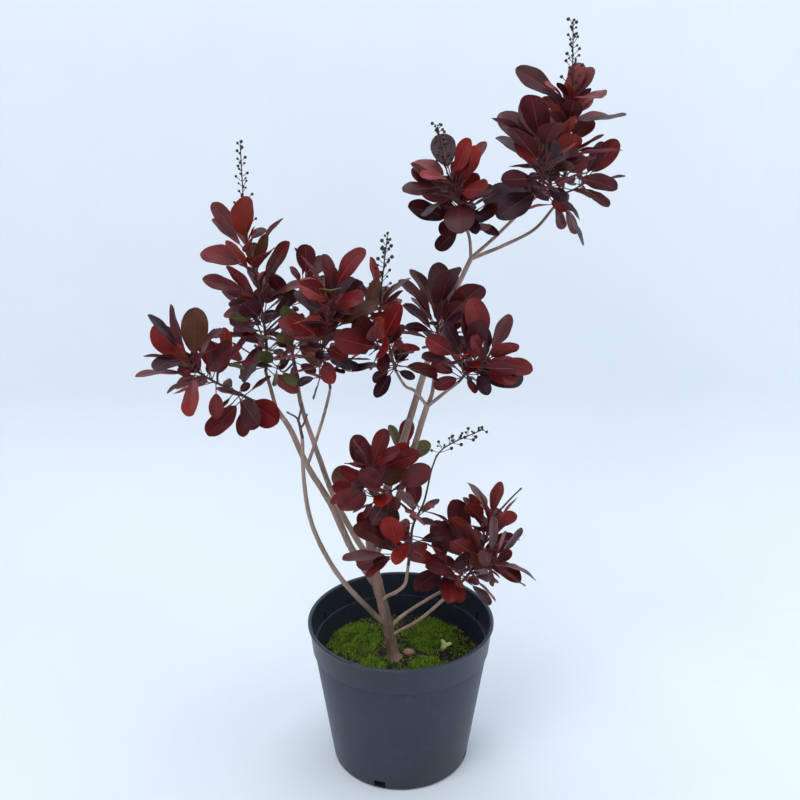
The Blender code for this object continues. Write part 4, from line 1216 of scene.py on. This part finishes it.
def make_limbs():
    """The trunk and stems, each kind of bark in a piece of its own."""
    heaps = {kind: Heap() for kind in BARK_COLOURS}
    nodes = {kind: [] for kind in BARK_COLOURS}
    for seed, (name, limb) in enumerate(LIMBS.items()):
        kind = "trunk" if limb.parent is None else "stems"
        if name.startswith("low_"):
            kind = "shoots_of_root"
        line = smooth_line(limb.path, BARK_SPACING)
        heaps[kind].add(bark_tube(line, limb_radii(limb, line), limb_sides(limb, BARK_SIDES),
                                  seed, BARK_RELIEF))
        nodes[kind].append(name)
    for kind, heap in heaps.items():
        make_piece(f"bark_{kind}", heap, [f"{kind} bark"], nodes[kind])


def block(size, place, turn):
    """A box at a point, turned about the Z axis."""
    work = bmesh.new()
    bmesh.ops.create_cube(work, size=1.0)
    for vert in work.verts:
        corner = Vector((vert.co.x * size.x, vert.co.y * size.y, vert.co.z * size.z))
        vert.co = Matrix.Rotation(turn, 3, "Z") @ corner + place
    return take_shape(work)


def pot_shell():
    """The pot's turned shell, with a groove under its collar."""
    section = list(pot_profile())
    foot = POT_HEIGHT - COLLAR_HEIGHT
    first, *others = [foot - drop for drop in GROOVE_HEIGHTS]
    section[COLLAR_STEP:COLLAR_STEP + 1] = [
        (wall_radius(first), first), *((wall_radius(height) - GROOVE, height) for height in others)]
    pot = add_mesh("nursery_pot", *lathe(section, FINE_POT_SIDES))
    work = bmesh.new()
    work.from_mesh(pot.data)
    bmesh.ops.remove_doubles(work, verts=work.verts, dist=0.00001)
    bmesh.ops.recalc_face_normals(work, faces=work.faces)
    work.to_mesh(pot.data)
    work.free()
    return pot


def cut_slot(pot, turn):
    """A drain slot through the pot's foot."""
    place = Vector((*polar(BASE_RADIUS, turn),
                    FLOOR + DRAIN_SLOT_HEIGHT / 2 - DRAIN_SLOT_DROP))
    size = Vector((DRAIN_SLOT_DEPTH, DRAIN_SLOT_WIDTH, DRAIN_SLOT_HEIGHT))
    cutter = add_mesh("block", *block(size, place, turn))
    cut = pot.modifiers.new("slot", "BOOLEAN")
    cut.operation = "DIFFERENCE"
    cut.object = cutter
    graph = bpy.context.evaluated_depsgraph_get()
    pot.data = bpy.data.meshes.new_from_object(pot.evaluated_get(graph))
    pot.modifiers.clear()
    bpy.data.objects.remove(cutter)


def make_pot():
    """The pot, with the lugs inside its collar and the drain slots in its foot."""
    pot = pot_shell()
    for k in range(DRAIN_SLOTS):
        cut_slot(pot, math.radians(DRAIN_SLOT_ANGLE + 360 * k / DRAIN_SLOTS))
    pot.data.materials.clear()
    pot.data.materials.append(make_material("pot plastic"))
    finish_piece(pot, ["pot"], edge=POT_EDGE)
    lugs = Heap()
    radius = COLLAR_BOTTOM_RADIUS - WALL
    height = ledge_height() + LUG_SIZE.z / 2 + LUG_LIFT
    for k in range(LUGS):
        turn = 2 * math.pi * (k + 0.5) / LUGS + math.pi / 2
        lugs.add(block(LUG_SIZE, Vector((*polar(radius, turn), height)), turn))
    make_piece("pot_lugs", lugs, ["pot plastic"])


def ground(x, y):
    """The fine surface of the soil."""
    rough = noise.fractal(Vector((x * GROUND_SCALE, y * GROUND_SCALE, 0.0)), 0.8, 2.1, 4)
    return soil_height(x, y) + GROUND_RELIEF * rough


def disc_draw(rng, reach):
    """A random distance and angle, spread evenly over a disc."""
    return reach * math.sqrt(rng.random()), rng.uniform(0, 2 * math.pi)


def soil_radius():
    return wall_radius(SOIL_LEVEL) - WALL


def make_ground():
    """The soil's surface, its crumbs and the straw on it."""
    top = soil_radius() - CLEARANCE * 2
    low = SOIL_LEVEL - SOIL_DEPTH
    profile = [(0, low), (top * 0.98, low)]
    profile += [(top * ring / GROUND_RINGS, SOIL_LEVEL) for ring in range(GROUND_RINGS, -1, -1)]
    verts, faces = lathe(profile, GROUND_SIDES)
    for vert in verts:
        if vert.z > SOIL_LEVEL - SOIL_DEPTH / 2:
            vert.z = ground(vert.x, vert.y)
    heap = Heap()
    heap.add((verts, faces))
    rng = random.Random(CRUMB_SEED)
    for _ in range(CRUMBS):
        x, y = polar(*disc_draw(rng, top * 0.985))
        size = rng.uniform(*CRUMB_SIZES)
        heap.add(crumb(Vector((x, y, ground(x, y) + size * CRUMB_RISE)), size, rng))
    make_piece("soil_surface", heap, ["soil"], ["soil"])
    make_straw(rng, top)


def make_straw(rng, top):
    """Short bits of straw on the soil."""
    straws = Heap()
    for _ in range(STRAWS):
        away, turn = disc_draw(rng, top * 0.95)
        x, y = polar(away, turn)
        heading = Vector((*polar(1, turn * 7), rng.uniform(*STRAW_TILTS)))
        length = rng.uniform(*STRAW_LENGTHS)
        start = Vector((x, y, ground(x, y) + STRAW_RISE))
        straws.add(tube([start, start + heading * length * 0.5, start + heading * length],
                        STRAW_RADII, 4))
    make_piece("straw", straws, ["straw"])


def crumb(place, size, rng):
    """An uneven grain with eight faces."""
    spokes = ((1, 0, 0), (-1, 0, 0), (0, 1, 0), (0, -1, 0), (0, 0, 1), (0, 0, -1))
    verts = [place + Vector(spoke) * (size * rng.uniform(*CRUMB_SPOKES)) for spoke in spokes]
    return verts, [(0, 2, 4), (2, 1, 4), (1, 3, 4), (3, 0, 4),
                   (2, 0, 5), (1, 2, 5), (3, 1, 5), (0, 3, 5)]


def lump(x, y):
    return noise.noise(Vector((x * LUMP_SCALE, y * LUMP_SCALE, 3.0)))


def mound(moss, most):
    """The soft mound under a cushion's sprigs."""
    verts = []
    for ring in range(MOUND_RINGS + 1):
        for c, s in circle(MOUND_SIDES):
            edge = 1 + MOUND_EDGE * noise.noise(Vector((c * 2, s * 2, moss.x * 90)))
            reach = edge * max(ring, 0.01) / MOUND_RINGS
            x = moss.x + moss.across * reach * c
            y = moss.y + moss.along * reach * s
            pull = min(1.0, most / max(math.hypot(x, y), 0.001))
            x, y = x * pull, y * pull
            rise = moss.height * MOUND_SHARE * (1 - (ring / MOUND_RINGS) ** 2)
            rise *= 1 + LUMP_GAIN * lump(x, y)
            verts.append(Vector((x, y, ground(x, y) - MOUND_SINK + rise)))
    return verts, [(a, d, c, b) for a, b, c, d in wall_faces(MOUND_RINGS, MOUND_SIDES)]


def add_sprig(heaps, rng, kind, start, gain=1.0):
    """An upright sprig of moss that leans at random, in a tone dealt at random."""
    lean = Vector((rng.uniform(-kind.lean, kind.lean), rng.uniform(-kind.lean, kind.lean), 1))
    lean.normalize()
    length = SPRIG_LENGTH * rng.uniform(*kind.shares) * gain
    line = [start, start + lean * (length * 0.5), start + lean * length]
    draw = rng.random()
    tone = "pale" if draw < kind.pale else "deep" if draw < kind.deep else "dry"
    radii = (SPRIG_FOOT_RADIUS, kind.widest, SPRIG_TIP_RADIUS)
    heaps[tone].add(tube(line, radii, 3))


def grow_cushion(heaps, name, moss, most):
    """The sprigs of one cushion, thinner where the moss is worn."""
    rng = random.Random(name)
    heaps["mounds"].add(mound(moss, most))
    for _ in range(int(SPRIGS_PER_AREA * moss.across * moss.along)):
        away, turn = disc_draw(rng, CUSHION_REACH)
        x = moss.x + moss.across * away * math.cos(turn)
        y = moss.y + moss.along * away * math.sin(turn)
        if math.hypot(x, y) > most:
            continue
        patch = lump(x, y)
        if patch < WORN_BELOW and rng.random() < WORN_SHARE:
            continue
        out = math.hypot((x - moss.x) / moss.across, (y - moss.y) / moss.along)
        rise = moss.height * CUSHION_SHARE * max(0.0, 1 - out ** 2) * (1 + LUMP_GAIN * patch)
        start = Vector((x, y, ground(x, y) + rise - SPRIG_SINK))
        add_sprig(heaps, rng, CUSHION_SPRIGS, start, 1 + PATCH_GAIN * patch)


def scatter_sprigs(heaps, most):
    """Loose moss between the cushions, with barer soil at the right."""
    rng = random.Random(SCATTER_SEED)
    for _ in range(SCATTERED_SPRIGS):
        x, y = polar(*disc_draw(rng, most))
        patch = noise.noise(Vector((x * SCATTER_SCALE, y * SCATTER_SCALE, 1.0)))
        fine = noise.noise(Vector((x * SCATTER_FINE_SCALE, y * SCATTER_FINE_SCALE, 5)))
        patch += SCATTER_FINE_SHARE * fine
        bare = x > BARE_FROM_X and y < BARE_TO_Y
        if patch < (BARE_BELOW if bare else LOOSE_BELOW):
            continue
        height = ground(x, y) - SPRIG_SINK + LOOSE_RISE * max(patch, 0)
        add_sprig(heaps, rng, LOOSE_SPRIGS, Vector((x, y, height)))


def make_moss():
    """Cushions of fine upright sprigs on soft mounds, and loose sprigs between them."""
    heaps = {kind: Heap() for kind in ("mounds", "pale", "dry", "deep")}
    most = soil_radius() - MOSS_WALL_GAP * 0.6
    for name, moss in MOSS_CUSHIONS.items():
        grow_cushion(heaps, name, moss, most)
    scatter_sprigs(heaps, most)
    make_piece("moss_mounds", heaps.pop("mounds"), ["moss mound"], list(MOSS_CUSHIONS))
    for tone, heap in heaps.items():
        make_piece(f"moss_{tone}", heap, [f"moss {tone}"])


def make_chip():
    """A weathered bark chip at the trunk's foot."""
    work = bmesh.new()
    bmesh.ops.create_icosphere(work, subdivisions=4, radius=1.0)
    lowest = SOIL_LEVEL + 0.0004
    for vert in work.verts:
        rough = 1 + 0.14 * noise.noise(vert.co * 2.4) + 0.05 * noise.noise(vert.co * 9)
        x, y, z = (vert.co[k] * CHIP_SIZE[k] * rough for k in range(3))
        vert.co = Vector((CHIP_CENTRE.x + x, CHIP_CENTRE.y + y,
                          max(lowest, lowest + CHIP_SIZE.z * 0.4 + z)))
    heap = Heap()
    heap.add(take_shape(work))
    make_piece("chip", heap, ["chip"], ["bark_chip"])


def make_fallen_leaf():
    """A small pale leaf with three lobes that lies on the moss."""
    verts = []
    for drop in (0.0, FALLEN_THICKNESS):
        for ring in range(LEAF_RINGS + 1):
            for k in range(LEAF_SIDES):
                turn = 2 * math.pi * k / LEAF_SIDES
                reach = LOBE_REACH + LOBE_DEPTH * math.cos(LOBES * turn)
                reach *= max(ring, 0.02) / LEAF_RINGS
                curl = LEAF_CURL * (ring / LEAF_RINGS) ** 2 * math.cos(2 * turn + 0.6)
                spot = Vector((*polar(reach, turn), curl - drop))
                verts.append(LEAF_SPOT + Matrix.Rotation(LEAF_TILT, 3, "X") @ spot)
    count = len(verts) // 2
    edge = LEAF_RINGS * LEAF_SIDES
    faces = wall_faces(LEAF_RINGS, LEAF_SIDES)
    faces += [tuple(count + k for k in reversed(face)) for face in faces]
    for k in range(LEAF_SIDES):
        a, b = edge + k, edge + (k + 1) % LEAF_SIDES
        faces.append((a, a + count, b + count, b))
    heap = Heap()
    heap.add((verts, faces))
    make_piece("fallen_leaf", heap, ["fallen leaf"])


def make_stage():
    """A pale floor that curves up into a pale wall behind."""
    bend_start = BACK_PLACE - BACK_BEND
    section = [(-FLOOR_REACH, 0.0), (FLOOR_BEND_START, 0.0), (bend_start, 0.0)]
    for k in range(1, BACK_BEND_STEPS + 1):
        angle = math.pi / 2 * k / BACK_BEND_STEPS
        section.append((bend_start + BACK_BEND * math.sin(angle),
                        BACK_BEND - BACK_BEND * math.cos(angle)))
    section.append((BACK_PLACE, BACK_HEIGHT))
    verts = [(x, y, z - FLOOR_DROP) for y, z in section for x in (-FLOOR_REACH, FLOOR_REACH)]
    faces = [(2 * k, 2 * k + 1, 2 * k + 3, 2 * k + 2) for k in range(len(section) - 1)]
    floor = add_mesh("floor", verts, faces)
    floor.data.shade_smooth()
    floor.data.materials.append(make_material("floor"))


def make_light(name, place, target, size, power, colour):
    """A soft round light at a place, turned towards its target."""
    light = bpy.data.lights.new(name, "AREA")
    light.shape = "DISK"
    light.size = size
    light.energy = power
    light.color = colour
    obj = add_object(name, light)
    obj.location = place
    obj.rotation_euler = (Vector(target) - Vector(place)).to_track_quat("-Z", "Y").to_euler()


def make_studio():
    """Soft light from above and all round, and the camera at the photo's viewing angle."""
    world = bpy.data.worlds.new("studio")
    world.use_nodes = True
    back = world.node_tree.nodes["Background"]
    back.inputs["Color"].default_value = SKY
    back.inputs["Strength"].default_value = SKY_STRENGTH
    bpy.context.scene.world = world
    for name, light in LIGHTS.items():
        make_light(name, *light)
    camera = bpy.data.cameras.new("camera")
    camera.lens = CAMERA_LENS
    camera.sensor_width = CAMERA_SENSOR
    camera.clip_start = CAMERA_NEAREST
    obj = add_object("camera", camera)
    obj.location = CAMERA_PLACE
    obj.rotation_euler = (math.radians(90 - CAMERA_PITCH), 0, 0)
    bpy.context.scene.camera = obj
    bpy.context.scene.view_settings.view_transform = "Standard"


make_studio()
make_stage()
SPACE = Space()
PLANS = plan_plant(SPACE)
make_crown(PLANS, SPACE)
make_limbs()
make_pot()
make_ground()
make_moss()
make_chip()
make_fallen_leaf()
